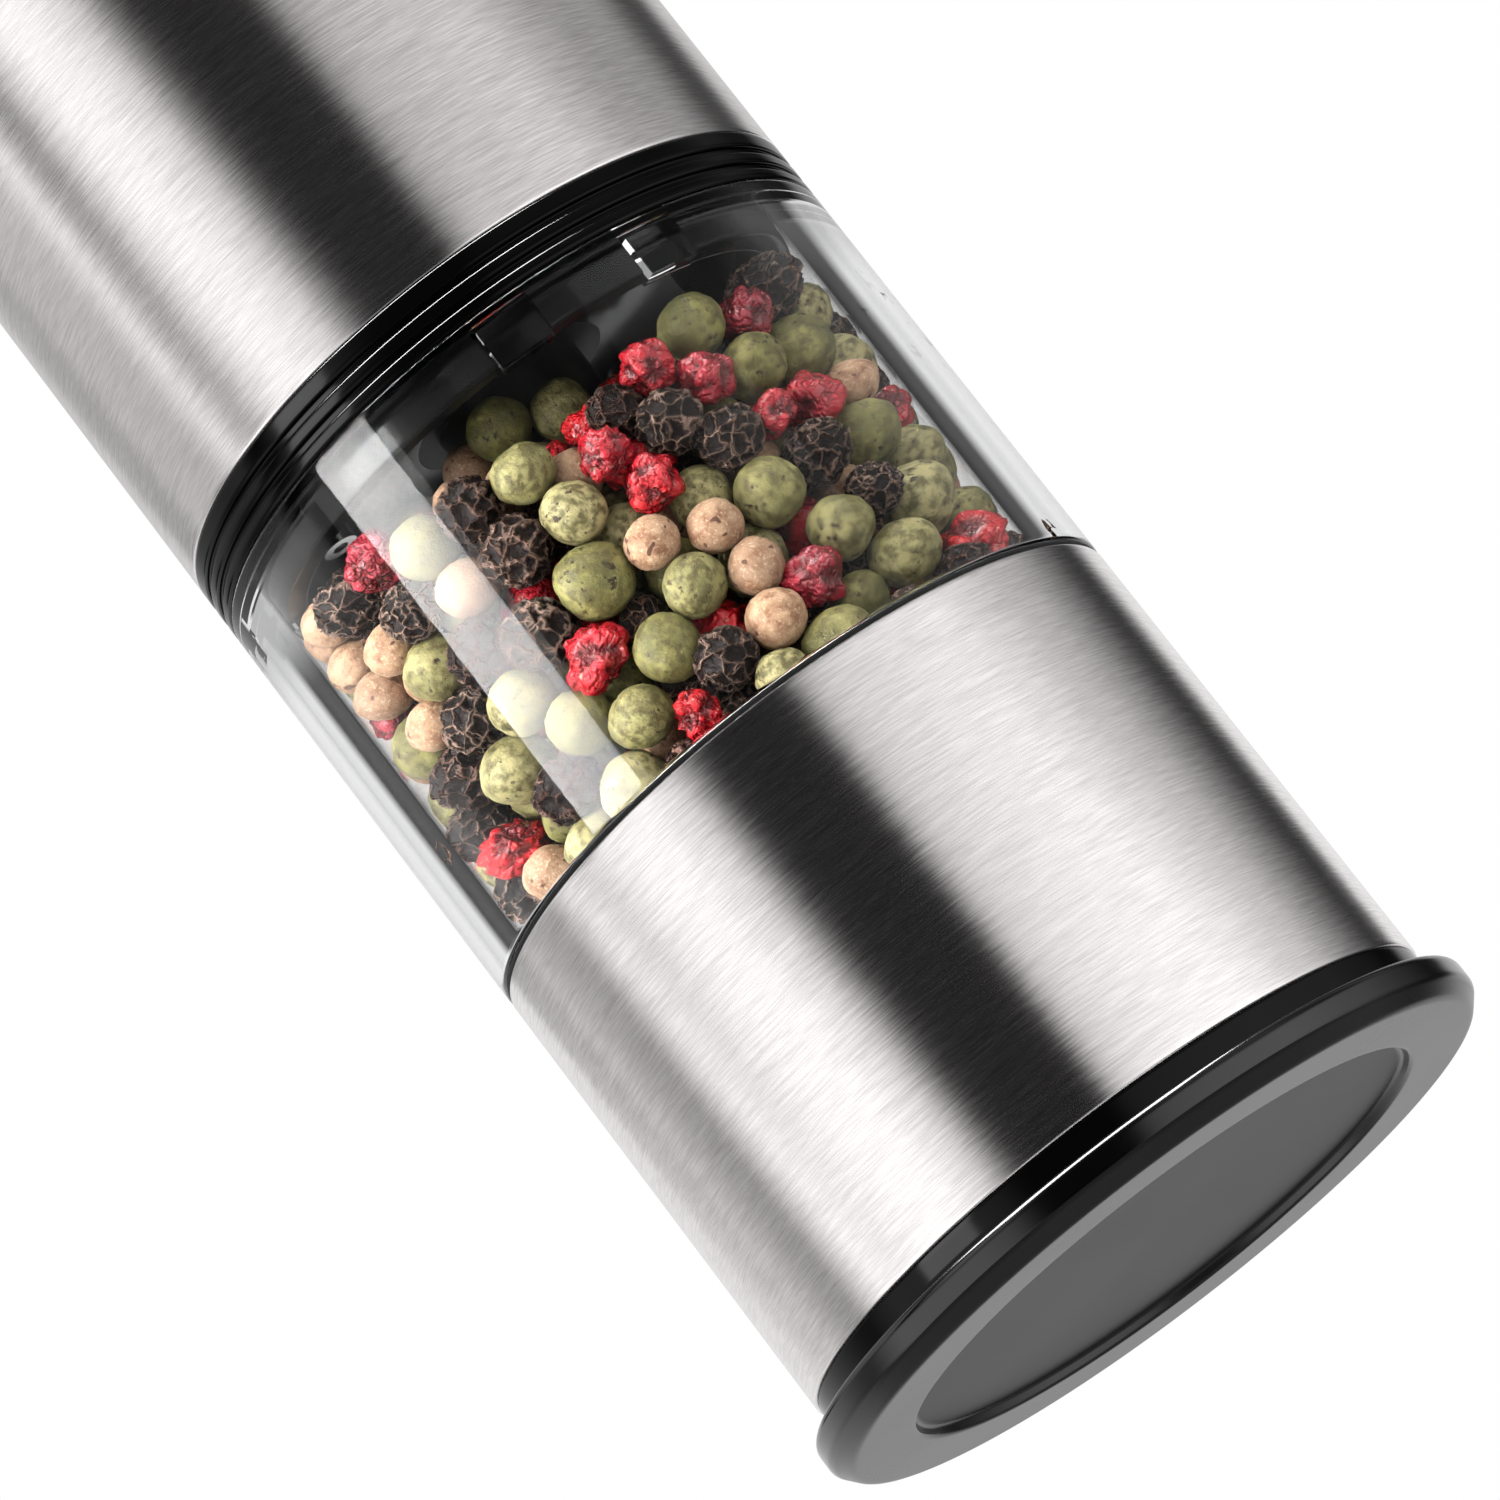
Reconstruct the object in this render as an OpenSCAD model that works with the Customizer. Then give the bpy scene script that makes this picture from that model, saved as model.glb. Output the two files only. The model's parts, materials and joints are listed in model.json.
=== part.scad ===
// Battery spice grinder: clear jar with ceramic burrs below, motor and cells in the steel tube above.
// Millimetres, +Z up, origin at the centre of the face that it stands on.

/* [Body] */
// Outer diameter of both steel tubes
body_d = 52; // [51:0.5:63]
// Height of the upper steel tube
shell_h = 134.5; // [133:0.5:170]
// Height of the lower steel sleeve
sleeve_h = 36.1; // [34:0.1:50]
// Height of the clear window between the sleeve and the black ring
window_h = 33.9; // [26:0.1:60]
// Wall of both steel tubes
steel_t = 0.6; // [0.4:0.1:1]

/* [Black ring] */
// Height of the glossy ring under the upper tube
ring_h = 4.4; // [4:0.1:7]
// Depth of the two grooves round it
groove_depth = 0.35; // [0.2:0.05:0.4]
// Height of each groove
groove_h = 0.5; // [0.3:0.05:0.6]
// Thickness of the plate inside the ring
ring_floor_t = 2.4; // [2:0.1:3]
// Thickness of the flat seal under the ring
gasket_t = 0.8; // [0.5:0.1:1]
// Length of the spigot that plugs into the jar, below the ring
spigot_h = 3.2; // [2.5:0.1:6]

/* [Jar] */
// Wall of the clear jar
jar_wall = 3.3; // [2.6:0.1:4]
// Length of each locating key on the jar's inside
key_h = 3.2; // [2:0.1:4]
// Width of a key
key_w = 4; // [2:0.1:6]
// How far a key stands in from the wall
key_depth = 1.6; // [1:0.1:2]
// Angle between the two keys of a pair
key_split = 31; // [20:1:60]
// Thickness of the seal between the jar and the sleeve
seal_t = 0.4; // [0.3:0.05:1]

/* [Base cap] */
// Outer diameter of the cap's flange
flange_d = 55.6; // [55:0.1:70]
// Height of the flange
cap_h = 3.2; // [3:0.1:6]
// Radius of the flange's lower edge
cap_round = 2.1; // [1:0.1:2.4]
// Diameter of the recess under the cap
recess_d = 42.6; // [30:0.1:46]
// Depth of that recess
recess_depth = 1.2; // [0.5:0.1:1.4]
// Thickness of the cap's panel
cap_panel_t = 1.6; // [1.2:0.1:1.7]
// Height of the rim that plugs into the base ring
plug_h = 4.5; // [3:0.1:6]
// Height of the black base ring that shows under the sleeve
base_ring_h = 2.1; // [1.5:0.1:4]

/* [Burrs] */
// Outer diameter of the ceramic ring
stator_d = 33.8; // [31:0.1:36]
// Height of the ceramic ring
stator_h = 12; // [10:0.1:14]
// Diameter of its bore at the bottom
stator_bore_d = 28; // [26:0.1:28.4]
// Diameter of its bore at the top
stator_throat_d = 21; // [18:0.1:23]
// Largest diameter of the ceramic cone
rotor_d = 26.4; // [22:0.1:26.6]
// Diameter of the cone's top
rotor_top_d = 13.6; // [12.8:0.1:16]
// Number of teeth in the ring
stator_teeth = 20; // [12:1:24]
// Number of teeth on the cone
rotor_teeth = 14; // [8:1:18]
// Depth of the grooves between the teeth
tooth_depth = 0.9; // [0.4:0.1:1.2]
// Axial travel of the cone each way from its middle setting
burr_travel = 0.8; // [0.4:0.1:1.2]

/* [Shaft and knob] */
// Width of the six-sided drive shaft across its flats
shaft_af = 5.9; // [5:0.1:6.5]
// Diameter of the shaft's lower, threaded end
thread_d = 5; // [4:0.1:5]
// Diameter of the grind knob
knob_d = 18; // [14:0.1:22]
// Height of the grind knob
knob_h = 7.5; // [6:0.1:7.8]

/* [Gearbox] */
// Gear module, the pitch diameter per tooth
gear_m = 0.6; // [0.5:0.05:0.6]
// Teeth on each sun gear
sun_teeth = 12; // [12:3:15]
// Teeth on each planet
planet_teeth = 18; // [15:3:18]
// Height of the gears
gear_h = 5.5; // [4:0.1:5.5]

/* [Motor and cells] */
// Diameter of the motor
motor_d = 28; // [24:0.1:33]
// Length of the motor's can
motor_l = 36; // [30:0.5:36]
// Diameter of one cell
cell_d = 14.2; // [10:0.1:14.5]
// Length of one cell with its button
cell_l = 50.5; // [44:0.1:50.5]

/* [Push button] */
// Diameter of the push button
button_d = 30; // [24:0.5:32]
// Travel of the push button
button_travel = 1.5; // [0.5:0.1:1.5]
// Height of the black rim above the upper tube
top_rim_h = 2.5; // [2:0.1:6]

/* [Hidden] */
$fn = 96;

// Clearances: a plug that stays put, pieces that part or slide, a shaft in its bearing, a cut's overrun
fit = 0.1;
slip = 0.3;
run = 0.05;
over = 1;

// Heights up the outside
sleeve_z = cap_h + base_ring_h;
window_z = sleeve_z + sleeve_h;
ring_z = window_z + window_h;
shell_z = ring_z + ring_h;
shell_top = shell_z + shell_h;

// Radii
body_r = body_d / 2;
tube_r = body_r - steel_t;
lining_r = tube_r - fit;
frame_r = tube_r - slip;
jar_r = body_r - jar_wall;
spigot_r = jar_r - slip;
spigot_wall = 1.8;

// Base ring and cap
base_bore_r = lining_r - 3.3;
base_skirt_h = 6;
seat_z = sleeve_z + base_skirt_h;
cap_top_round = 0.8;
plug_wall = 1.4;
small_screw_r = 0.9;
small_head_r = 1.4;
small_head_h = 1.2;
base_screw_r = (base_bore_r + lining_r) / 2;
screws = 3;

// Grinder
flange_t = 2;
ledge_z = seat_z + 4;
ledge_t = 2;
ledge_r = stator_bore_d / 2 + 0.6;
stator_z = ledge_z + ledge_t;
stator_r = stator_d / 2;
guide_z = stator_z + stator_h;
guide_t = 3;
guide_hub_h = 4;
guide_hub_r = 6;
housing_r = jar_r - fit;
housing_top = window_z - 0.6;
funnel_lip = 0.8;
pocket_wall = 1.4;
rib_w = 2;
rotor_z = stator_z - burr_travel - 0.5;
rotor_skirt = 1.5;
rotor_h = 11;
rotor_pocket_r = 5.4;
rotor_pocket_h = 4;
hex_r = shaft_af / 2 / cos(30);
shaft_bottom = rotor_z - knob_h + 1;
shaft_top = ring_z + 3.7;
hex_z = rotor_z + rotor_skirt;
clip_t = 0.8;
clip_groove_r = 2.5;
spring_wire = 0.7;

// Head: coupling, gearbox and motor, from the black ring upwards
socket_depth = 7;
boss_r = 6;
bush_r = 8;
key_z = ring_z - key_h - slip - fit;
key_pairs = 3;
key_turns = [for (side = [-1, 1]) 52.5 + side * key_split / 2];
plate_t = 2;
carrier_t = 3;
carrier_r = ring_teeth() * gear_m / 2 - 1.9;
gear_gap = 0.3;
pin_r = 1.5;
gear_orbit_r = (sun_teeth + planet_teeth) * gear_m / 2;
low_disc_z = shell_z + plate_t + gear_gap;
low_gear_z = low_disc_z + carrier_t + gear_gap;
high_disc_z = low_gear_z + gear_h + 2 * gear_gap;
high_gear_z = high_disc_z + carrier_t + gear_gap;
cover_z = high_gear_z + gear_h + 2 * gear_gap;
cover_t = 2;
case_r = ring_teeth() * gear_m / 2 + 3.1;
case_screw_r = case_r - 1.25;
case_screw_grip = 4;
motor_z = cover_z + cover_t;
motor_r = motor_d / 2;
motor_wall = 0.8;
can_floor_t = 1.6;
motor_top = motor_z + motor_l;
motor_shaft_r = 1.5;
end_cap_t = 3;
frame_wall = 1.6;
foot_h = 6;
screw_r = 1;
frame_screw_r = (frame_r + spigot_r) / 2;
holder_screw_r = frame_r - 4;
tab_r = 2;
tab_h = 3;
top_hole_r = 6;

// Cells, board and button, from the top of the tube downwards
board_z = shell_top - 7.5;
board_t = 1.6;
board_r = 17;
standoff_h = 1.2;
holder_t = 2;
bay_top = board_z - standoff_h - holder_t;
contact_t = 0.4;
cell_spring_l = 4;
cell_spring_r = 4;
cell_button_h = 1;
cell_button_r = 2.7;
bay_z = bay_top - cell_l - cell_spring_l - 2 * contact_t;
holder_z = bay_z - holder_t;
holder_r = frame_r - slip;
wall_t = 1.4;
wall_reach = 19;
cell_offset = cell_d / 2 + wall_t / 2 + slip;
strip_t = 0.5;
strip_w = 3;
strip_r = frame_r - frame_wall - 1.1;
switch_w = 8;
plunger_r = 1.85;
plunger_top = shell_top - 2;
boss_gap = 0.2;
press_gap = 0.2;
switch_h = plunger_top + boss_gap - button_travel - press_gap - board_z - board_t;
retainer_z = shell_top - 5.6;
retainer_t = 1.2;
cap_plate_z = shell_top - 0.5;
skirt_h = 8;
skirt_wall = 1.6;
button_r = button_d / 2;
button_lip = 1.8;
button_lip_h = 1.7;
button_lip_z = cap_plate_z - 0.4 - button_lip_h;
button_roof_z = shell_top + 0.6;
button_rise = 1;
button_wall = 2;
tower_r = 2.2;
tower_at = tube_r - skirt_wall - tower_r - 1;

// Colours
black = [0.07, 0.07, 0.08];
dark_grey = [0.3, 0.3, 0.31];
steel = [0.78, 0.78, 0.78];
bright = [0.85, 0.85, 0.83];
clear = [0.88, 0.93, 0.93, 0.35];
ceramic = [0.93, 0.91, 0.86];
brass = [0.78, 0.63, 0.32];
nylon = [0.85, 0.84, 0.78];
copper = [0.72, 0.4, 0.2];
board_green = [0.1, 0.35, 0.2];

// ---------- shared shapes ----------

// Teeth of the internal gear
function ring_teeth() = sun_teeth + 2 * planet_teeth;

// Points of an arc in a profile, from angle a to angle b
function arc(centre, r, a, b, steps = 8) =
    [for (i = [0 : steps]) centre + r * [cos(a + (b - a) * i / steps), sin(a + (b - a) * i / steps)]];

// Outline of a gear whose straight-sided teeth fill a share of the pitch
function gear_outline(teeth, share, addendum, dedendum) =
    let (r = teeth * gear_m / 2, half = share * PI * gear_m / 2, slope = tan(20))
    [for (i = [0 : teeth - 1])
        for (corner = [[-1, -dedendum], [-1, addendum], [1, addendum], [1, -dedendum]])
            let (radius = r + corner.y, a = 360 * i / teeth
                + corner.x * (half - corner.y * slope) / radius * 180 / PI)
            radius * [cos(a), sin(a)]];

module tube(outer, inner, z, h) {
    translate([0, 0, z]) difference() {
        cylinder(r = outer, h = h);
        translate([0, 0, -over]) cylinder(r = inner, h = h + 2 * over);
    }
}

module at(r, z, count = screws, turn = 0) {
    for (i = [0 : count - 1]) rotate([0, 0, turn + 360 * i / count]) translate([r, 0, z]) children();
}

// A screw pointing up, its head below z = 0
module screw(shank_r, shank_l, head_r, head_h) {
    difference() {
        union() {
            translate([0, 0, -head_h]) cylinder(r = head_r, h = head_h);
            cylinder(r = shank_r, h = shank_l);
        }
        translate([0, 0, -head_h - over]) cylinder(r = head_r / 2, h = head_h / 2 + over, $fn = 6);
    }
}

// A hole for such a screw
module screw_hole(shank_r, shank_l) {
    translate([0, 0, -over]) cylinder(r = shank_r + fit, h = shank_l + over + slip);
}

module external_gear(teeth, z, h) {
    translate([0, 0, z]) linear_extrude(h)
        polygon(gear_outline(teeth, 0.4, 0.8 * gear_m, 1.1 * gear_m));
}

// A coil spring: one unbroken tube from z0 to z1
coil_steps = 12;
coil_sides = 6;
function coil_centre(r, z0, z1, turns, wire, k) =
    let (rings = ceil(turns * coil_steps), a = 360 * turns * k / rings)
    [r * cos(a), r * sin(a), z0 + wire / 2 + (z1 - z0 - wire) * k / rings];
module coil(r, wire, z0, z1, turns) {
    rings = ceil(turns * coil_steps);
    centres = [for (k = [0 : rings]) coil_centre(r, z0, z1, turns, wire, k)];
    points = [for (k = [0 : rings]) let (c = centres[k], out = [c.x, c.y, 0] / r)
        for (j = [0 : coil_sides - 1]) let (b = 360 * j / coil_sides + 90)
            c + wire / 2 * (cos(b) * out + [0, 0, sin(b)])];
    sides = [for (k = [0 : rings - 1]) for (j = [0 : coil_sides - 1])
        let (a = k * coil_sides + j, b = k * coil_sides + (j + 1) % coil_sides)
        for (face = [[a, b, b + coil_sides], [a, b + coil_sides, a + coil_sides]]) face];
    first = [for (j = [1 : coil_sides - 2]) [0, j + 1, j]];
    last = [for (j = [1 : coil_sides - 2]) [0, j, j + 1] + rings * coil_sides * [1, 1, 1]];
    polyhedron(points, concat(sides, first, last));
    gap = min([for (k = [0 : rings - coil_steps])
        norm(centres[k + coil_steps] - centres[k]) - wire]);
    echo(least_gap_between_coils = gap);
}

// ---------- base ----------

module base_cap() {
    flange_r = flange_d / 2;
    recess_r = recess_d / 2;
    plug_r = base_bore_r - slip;
    panel_z = recess_depth + cap_panel_t;
    color(dark_grey) rotate_extrude() polygon(concat(
        [[0, recess_depth], [recess_r - 0.6, recess_depth], [recess_r, 0]],
        arc([flange_r - cap_round, cap_round], cap_round, -90, 0),
        arc([flange_r - cap_top_round, cap_h - cap_top_round], cap_top_round, 0, 90, 4),
        [[plug_r, cap_h], [plug_r, cap_h + plug_h], [plug_r - plug_wall, cap_h + plug_h],
         [plug_r - plug_wall, panel_z], [0, panel_z]]));
}

module base_ring() {
    head_z = cap_h + small_head_h + slip;
    color(black) difference() {
        union() {
            tube(body_r - 0.15, base_bore_r, cap_h, base_ring_h);
            tube(lining_r, base_bore_r, sleeve_z - 0.5, base_skirt_h + 0.5);
        }
        at(base_screw_r, head_z) screw_hole(small_screw_r, base_skirt_h + base_ring_h);
        at(base_screw_r, cap_h - over) cylinder(r = small_head_r + fit, h = small_head_h + slip + over);
    }
}

module base_screws() {
    color(bright) at(base_screw_r, cap_h + small_head_h + slip)
        screw(small_screw_r, seat_z + flange_t - cap_h - small_head_h - 2 * slip, small_head_r, small_head_h);
}

module lower_sleeve() {
    color(steel) tube(body_r, tube_r, sleeve_z, sleeve_h);
}

// ---------- jar ----------

module sleeve_seal() {
    color(black) tube(body_r - 0.1, lining_r, window_z, seal_t);
}

module pepper_jar() {
    shoulder_z = window_z + seal_t;
    color(clear) {
        difference() {
            union() {
                translate([0, 0, shoulder_z]) cylinder(r = body_r, h = ring_z - shoulder_z);
                translate([0, 0, seat_z + flange_t])
                    cylinder(r = lining_r - fit, h = shoulder_z - seat_z - flange_t + over);
            }
            translate([0, 0, seat_z]) cylinder(r = jar_r, h = ring_z);
        }
        for (turn = key_turns) at(jar_r, key_z, key_pairs, turn) key(key_w, key_depth, key_h);
    }
}

// One locating key, its root buried in the wall
module key(w, depth, h) {
    root = 0.5;
    translate([-depth, -w / 2, 0]) cube([depth + root, w, h]);
}

// ---------- grinder ----------

module grinder_housing() {
    bore_r = stator_r + fit;
    color(black) difference() {
        rotate_extrude() polygon([
            [ledge_r, ledge_z], [bore_r + pocket_wall, ledge_z], [bore_r + pocket_wall, seat_z],
            [lining_r, seat_z], [lining_r, seat_z + flange_t], [housing_r, seat_z + flange_t],
            [housing_r, housing_top], [housing_r - funnel_lip, housing_top],
            [bore_r, guide_z + guide_t], [bore_r, stator_z], [ledge_r, stator_z]]);
        housing_pockets(bore_r + pocket_wall, housing_r - pocket_wall);
        at(base_screw_r, seat_z) screw_hole(small_screw_r, flange_t - 2 * slip);
    }
}

// Hollows between the housing's ribs, open below
module housing_pockets(inner, outer) {
    difference() {
        tube(outer, inner, seat_z - over, guide_z - seat_z + over);
        for (i = [0 : 5]) rotate([0, 0, 30 + 60 * i])
            translate([0, -rib_w / 2, seat_z - 2 * over]) cube([body_r, rib_w, stator_h * 2]);
    }
}

module burr_ring() {
    low_r = stator_bore_d / 2;
    high_r = stator_throat_d / 2;
    color(ceramic) difference() {
        translate([0, 0, stator_z]) cylinder(r = stator_r, h = stator_h);
        translate([0, 0, stator_z]) cylinder(r1 = low_r, r2 = high_r, h = stator_h);
        for (i = [0 : stator_teeth - 1]) rotate([0, 0, 360 * i / stator_teeth])
            tooth_groove(low_r, high_r, stator_z, stator_h);
    }
}

// A square bar along a cone's surface, one edge sunk into it by the tooth depth
module tooth_groove(low_r, high_r, z, h) {
    side = tooth_depth * sqrt(2);
    lean = atan((low_r - high_r) / h);
    translate([low_r, 0, z]) rotate([0, -lean, 0]) translate([0, 0, -h])
        rotate([0, 0, 45]) translate([-side / 2, -side / 2, 0]) cube([side, side, 3 * h]);
}

module shaft_guide() {
    color(black) difference() {
        union() {
            tube(stator_r, stator_r - 2, guide_z, guide_t);
            translate([0, 0, guide_z]) cylinder(r = guide_hub_r, h = guide_hub_h);
            for (i = [0 : 2]) rotate([0, 0, 60 + 120 * i]) translate([guide_hub_r - 1, -1.5, guide_z])
                cube([stator_r - guide_hub_r, 3, guide_t]);
        }
        translate([0, 0, guide_z - over]) cylinder(r = hex_r + run, h = guide_hub_h + 2 * over);
    }
}

module drive_shaft() {
    clip_z = guide_z + guide_hub_h;
    color(bright) difference() {
        union() {
            translate([0, 0, shaft_bottom]) cylinder(d = thread_d, h = hex_z - shaft_bottom + over);
            translate([0, 0, hex_z]) cylinder(r = hex_r, h = shaft_top - hex_z, $fn = 6);
        }
        tube(hex_r + over, clip_groove_r, clip_z + fit, clip_t + 2 * run);
    }
}

module shaft_clip() {
    slot = 2 * clip_groove_r;
    color(steel) difference() {
        tube(guide_hub_r - 0.5, clip_groove_r + run, guide_z + guide_hub_h + fit + run, clip_t);
        translate([0, -slot / 2, guide_z]) cube([guide_hub_r, slot, 2 * guide_hub_h]);
    }
}

module burr_spring() {
    color(steel) coil(rotor_pocket_r - 0.8, spring_wire, rotor_z + rotor_h - rotor_pocket_h, guide_z, 4);
}

module burr_cone() {
    cone_z = rotor_z + rotor_skirt;
    cone_h = rotor_h - rotor_skirt;
    color(ceramic) difference() {
        union() {
            translate([0, 0, rotor_z]) cylinder(d = rotor_d, h = rotor_skirt);
            translate([0, 0, cone_z]) cylinder(d1 = rotor_d, d2 = rotor_top_d, h = cone_h);
        }
        for (i = [0 : rotor_teeth - 1]) rotate([0, 0, 360 * i / rotor_teeth])
            tooth_groove(rotor_d / 2, rotor_top_d / 2, cone_z, cone_h);
        translate([0, 0, rotor_z - over]) cylinder(r = hex_r + run, h = rotor_h, $fn = 6);
        translate([0, 0, rotor_z + rotor_h - rotor_pocket_h])
            cylinder(r = rotor_pocket_r, h = rotor_pocket_h + over);
    }
}

module grind_knob() {
    grips = 12;
    grip_r = 1.4;
    color(black) translate([0, 0, rotor_z - knob_h]) difference() {
        cylinder(d = knob_d, h = knob_h);
        translate([0, 0, -over]) cylinder(d = thread_d + 2 * run, h = knob_h + 2 * over);
        at(knob_d / 2 + grip_r / 2, -over, grips) cylinder(r = grip_r, h = knob_h - 0.5);
    }
}

// ---------- head: ring, frame, gearbox and motor ----------

module lock_ring() {
    floor_z = shell_z - ring_floor_t;
    head_z = frame_head_z();
    color(black) difference() {
        union() {
            tube(body_r, spigot_r - spigot_wall, ring_z, ring_h - ring_floor_t + 0.5);
            tube(body_r, bush_r, floor_z, ring_floor_t);
            tube(spigot_r, spigot_r - spigot_wall, ring_z - spigot_h, spigot_h + over);
        }
        for (share = [0.28, 0.62]) tube(body_r + over, body_r - groove_depth,
            ring_z + share * ring_h - groove_h / 2, groove_h);
        tube(gasket_outer() + fit, gasket_inner() - fit, ring_z - over, gasket_t + over);
        for (turn = key_turns) at(jar_r, ring_z - spigot_h - over, key_pairs, turn)
            key(key_w + 2 * slip, key_depth + slip, spigot_h + over - fit);
        at(frame_screw_r, head_z) screw_hole(screw_r, ring_h);
        at(frame_screw_r, ring_z - over) cylinder(r = small_head_r + fit, h = head_z - ring_z + over);
        at(case_screw_r, floor_z, screws, 60) screw_hole(small_screw_r, ring_floor_t);
    }
}

// The flat seal lies on the jar's rim, in a recess under the ring
function gasket_inner() = jar_r + 0.4;
function gasket_outer() = body_r - 0.9;
function frame_head_z() = ring_z + gasket_t + 2 * fit + small_head_h;

module neck_seal() {
    color("dimgray") tube(gasket_outer(), gasket_inner(), ring_z, gasket_t);
}

module output_bush() {
    color(brass) tube(bush_r - run, boss_r + run, shell_z - ring_floor_t, ring_floor_t);
}

module gearbox_screws() {
    color(bright) at(case_screw_r, shell_z - ring_floor_t, screws, 60)
        screw(small_screw_r, ring_floor_t + case_screw_grip, small_head_r, small_head_h);
}

module frame_screws() {
    color(bright) at(frame_screw_r, frame_head_z())
        screw(screw_r, shell_z + foot_h - over - frame_head_z(), small_head_r, small_head_h);
}

module motor_frame() {
    inner = frame_r - frame_wall;
    grip_z = motor_z + slip;
    color(black) difference() {
        union() {
            tube(frame_r, inner, shell_z, holder_z - shell_z);
            tube(frame_r, spigot_r - 0.5, shell_z, foot_h);
            tube(frame_r, top_hole_r, holder_z - plate_t, plate_t);
            for (i = [0 : 3]) rotate([0, 0, 45 + 90 * i]) translate([motor_r + slip, -0.8, grip_z])
                cube([inner - motor_r, 1.6, motor_l * 0.6]);
            at(holder_screw_r, holder_z - plate_t - tab_h, 2, 90) cylinder(r = tab_r, h = tab_h + over);
        }
        at(frame_screw_r, shell_z - over) cylinder(r = screw_r + fit, h = foot_h + slip);
        at(holder_screw_r, holder_z - plate_t - tab_h - over, 2, 90)
            cylinder(r = small_screw_r + fit, h = plate_t + tab_h + 2 * over);
        strip_slots(holder_z - plate_t - over, plate_t + 2 * over);
    }
}

module gearbox_case() {
    color(nylon) difference() {
        translate([0, 0, shell_z]) cylinder(r = case_r, h = cover_z - shell_z);
        translate([0, 0, shell_z - over]) cylinder(r = boss_r + run, h = plate_t + 2 * over);
        translate([0, 0, shell_z + plate_t]) linear_extrude(cover_z - shell_z)
            polygon(gear_outline(ring_teeth(), 0.6, 1.1 * gear_m, 0.8 * gear_m));
        at(case_screw_r, shell_z - over, screws, 60)
            cylinder(r = small_screw_r + fit, h = case_screw_grip + over + slip);
    }
}

module gearbox_cover() {
    color(nylon) difference() {
        translate([0, 0, cover_z]) cylinder(r = case_r, h = cover_t);
        translate([0, 0, cover_z - over])
            cylinder(r = (sun_teeth / 2 + 1.6) * gear_m, h = cover_t + 2 * over);
        at(motor_screw_at(), cover_z - over, 2) cylinder(r = small_screw_r + fit, h = cover_t + 2 * over);
        at(motor_screw_at(), cover_z - over, 2) cylinder(r = small_head_r + fit, h = small_head_h + over);
    }
}

function motor_screw_at() = motor_r * 0.6;

module motor_screws() {
    color(bright) at(motor_screw_at(), cover_z + small_head_h, 2)
        screw(small_screw_r, cover_t - small_head_h + can_floor_t, small_head_r, small_head_h);
}

// A disc with three pins for planets
module planet_carrier(disc_z) {
    translate([0, 0, disc_z]) cylinder(r = carrier_r, h = carrier_t);
    at(gear_orbit_r, disc_z, 3) cylinder(r = pin_r, h = carrier_t + gear_h + 1.5 * gear_gap);
}

module output_carrier() {
    socket_z = shaft_top + slip - socket_depth;
    color(nylon) difference() {
        union() {
            planet_carrier(low_disc_z);
            translate([0, 0, socket_z]) cylinder(r = boss_r, h = low_disc_z - socket_z + over);
        }
        translate([0, 0, socket_z - over]) cylinder(r = hex_r + fit, h = socket_depth + over, $fn = 6);
    }
}

module sun_carrier() {
    color(nylon) {
        planet_carrier(high_disc_z);
        rotate([0, 0, sun_turn()])
            external_gear(sun_teeth, low_gear_z, high_disc_z - low_gear_z + over);
    }
}

// The sun shows a gap to a planet with an even number of teeth, and a tooth to one with an odd number
function sun_turn() = planet_teeth % 2 == 0 ? 180 / sun_teeth : 0;

module planet(index, z) {
    color(nylon) rotate([0, 0, 120 * index]) translate([gear_orbit_r, 0, 0]) difference() {
        external_gear(planet_teeth, z, gear_h);
        translate([0, 0, z - over]) cylinder(r = pin_r + run, h = gear_h + 2 * over);
    }
}

module motor_pinion() {
    color(brass) difference() {
        rotate([0, 0, sun_turn()]) external_gear(sun_teeth, high_gear_z, gear_h + over);
        translate([0, 0, high_gear_z - over]) cylinder(r = motor_shaft_r + run, h = gear_h + 3 * over);
    }
}

module motor_armature() {
    slots = 5;
    core_r = motor_r - 4.2;
    core_z = motor_z + 6;
    core_h = motor_l - 18;
    color(copper) {
        translate([0, 0, high_gear_z]) cylinder(r = motor_shaft_r, h = motor_top + 1 - high_gear_z);
        difference() {
            translate([0, 0, core_z]) cylinder(r = core_r, h = core_h);
            at(core_r, core_z - over, slots) translate([-3, -0.8, 0]) cube([4, 1.6, core_h + 2 * over]);
        }
        translate([0, 0, core_z + core_h]) cylinder(r = 4, h = 5);
    }
}

module motor_can() {
    color(steel) difference() {
        translate([0, 0, motor_z]) cylinder(r = motor_r, h = motor_l);
        translate([0, 0, motor_z + can_floor_t]) cylinder(r = motor_r - motor_wall, h = motor_l);
        translate([0, 0, motor_z - over]) cylinder(r = motor_shaft_r + run, h = can_floor_t + 2 * over);
        at(motor_screw_at(), motor_z - over, 2)
            cylinder(r = small_screw_r + run, h = can_floor_t + 2 * over);
    }
}

module motor_magnets() {
    span = 140;
    outer = motor_r - motor_wall - run;
    inner = motor_r - 3.4;
    color(dark_grey) for (side = [0, 180]) rotate([0, 0, side - span / 2])
        translate([0, 0, motor_z + 3.5]) rotate_extrude(angle = span)
            translate([inner, 0]) square([outer - inner, motor_l - 12]);
}

module motor_end_cap() {
    color(black) difference() {
        translate([0, 0, motor_top - end_cap_t]) cylinder(r = motor_r - motor_wall - run, h = end_cap_t);
        translate([0, 0, motor_top - end_cap_t - over])
            cylinder(r = motor_shaft_r + run, h = end_cap_t + 2 * over);
    }
}

// ---------- cells and board ----------

module strip_slots(z, h) {
    for (side = [0, 180]) rotate([0, 0, side])
        translate([strip_r - slip, -strip_w / 2 - slip, z]) cube([strip_t + 2 * slip, strip_w + 2 * slip, h]);
}

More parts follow.
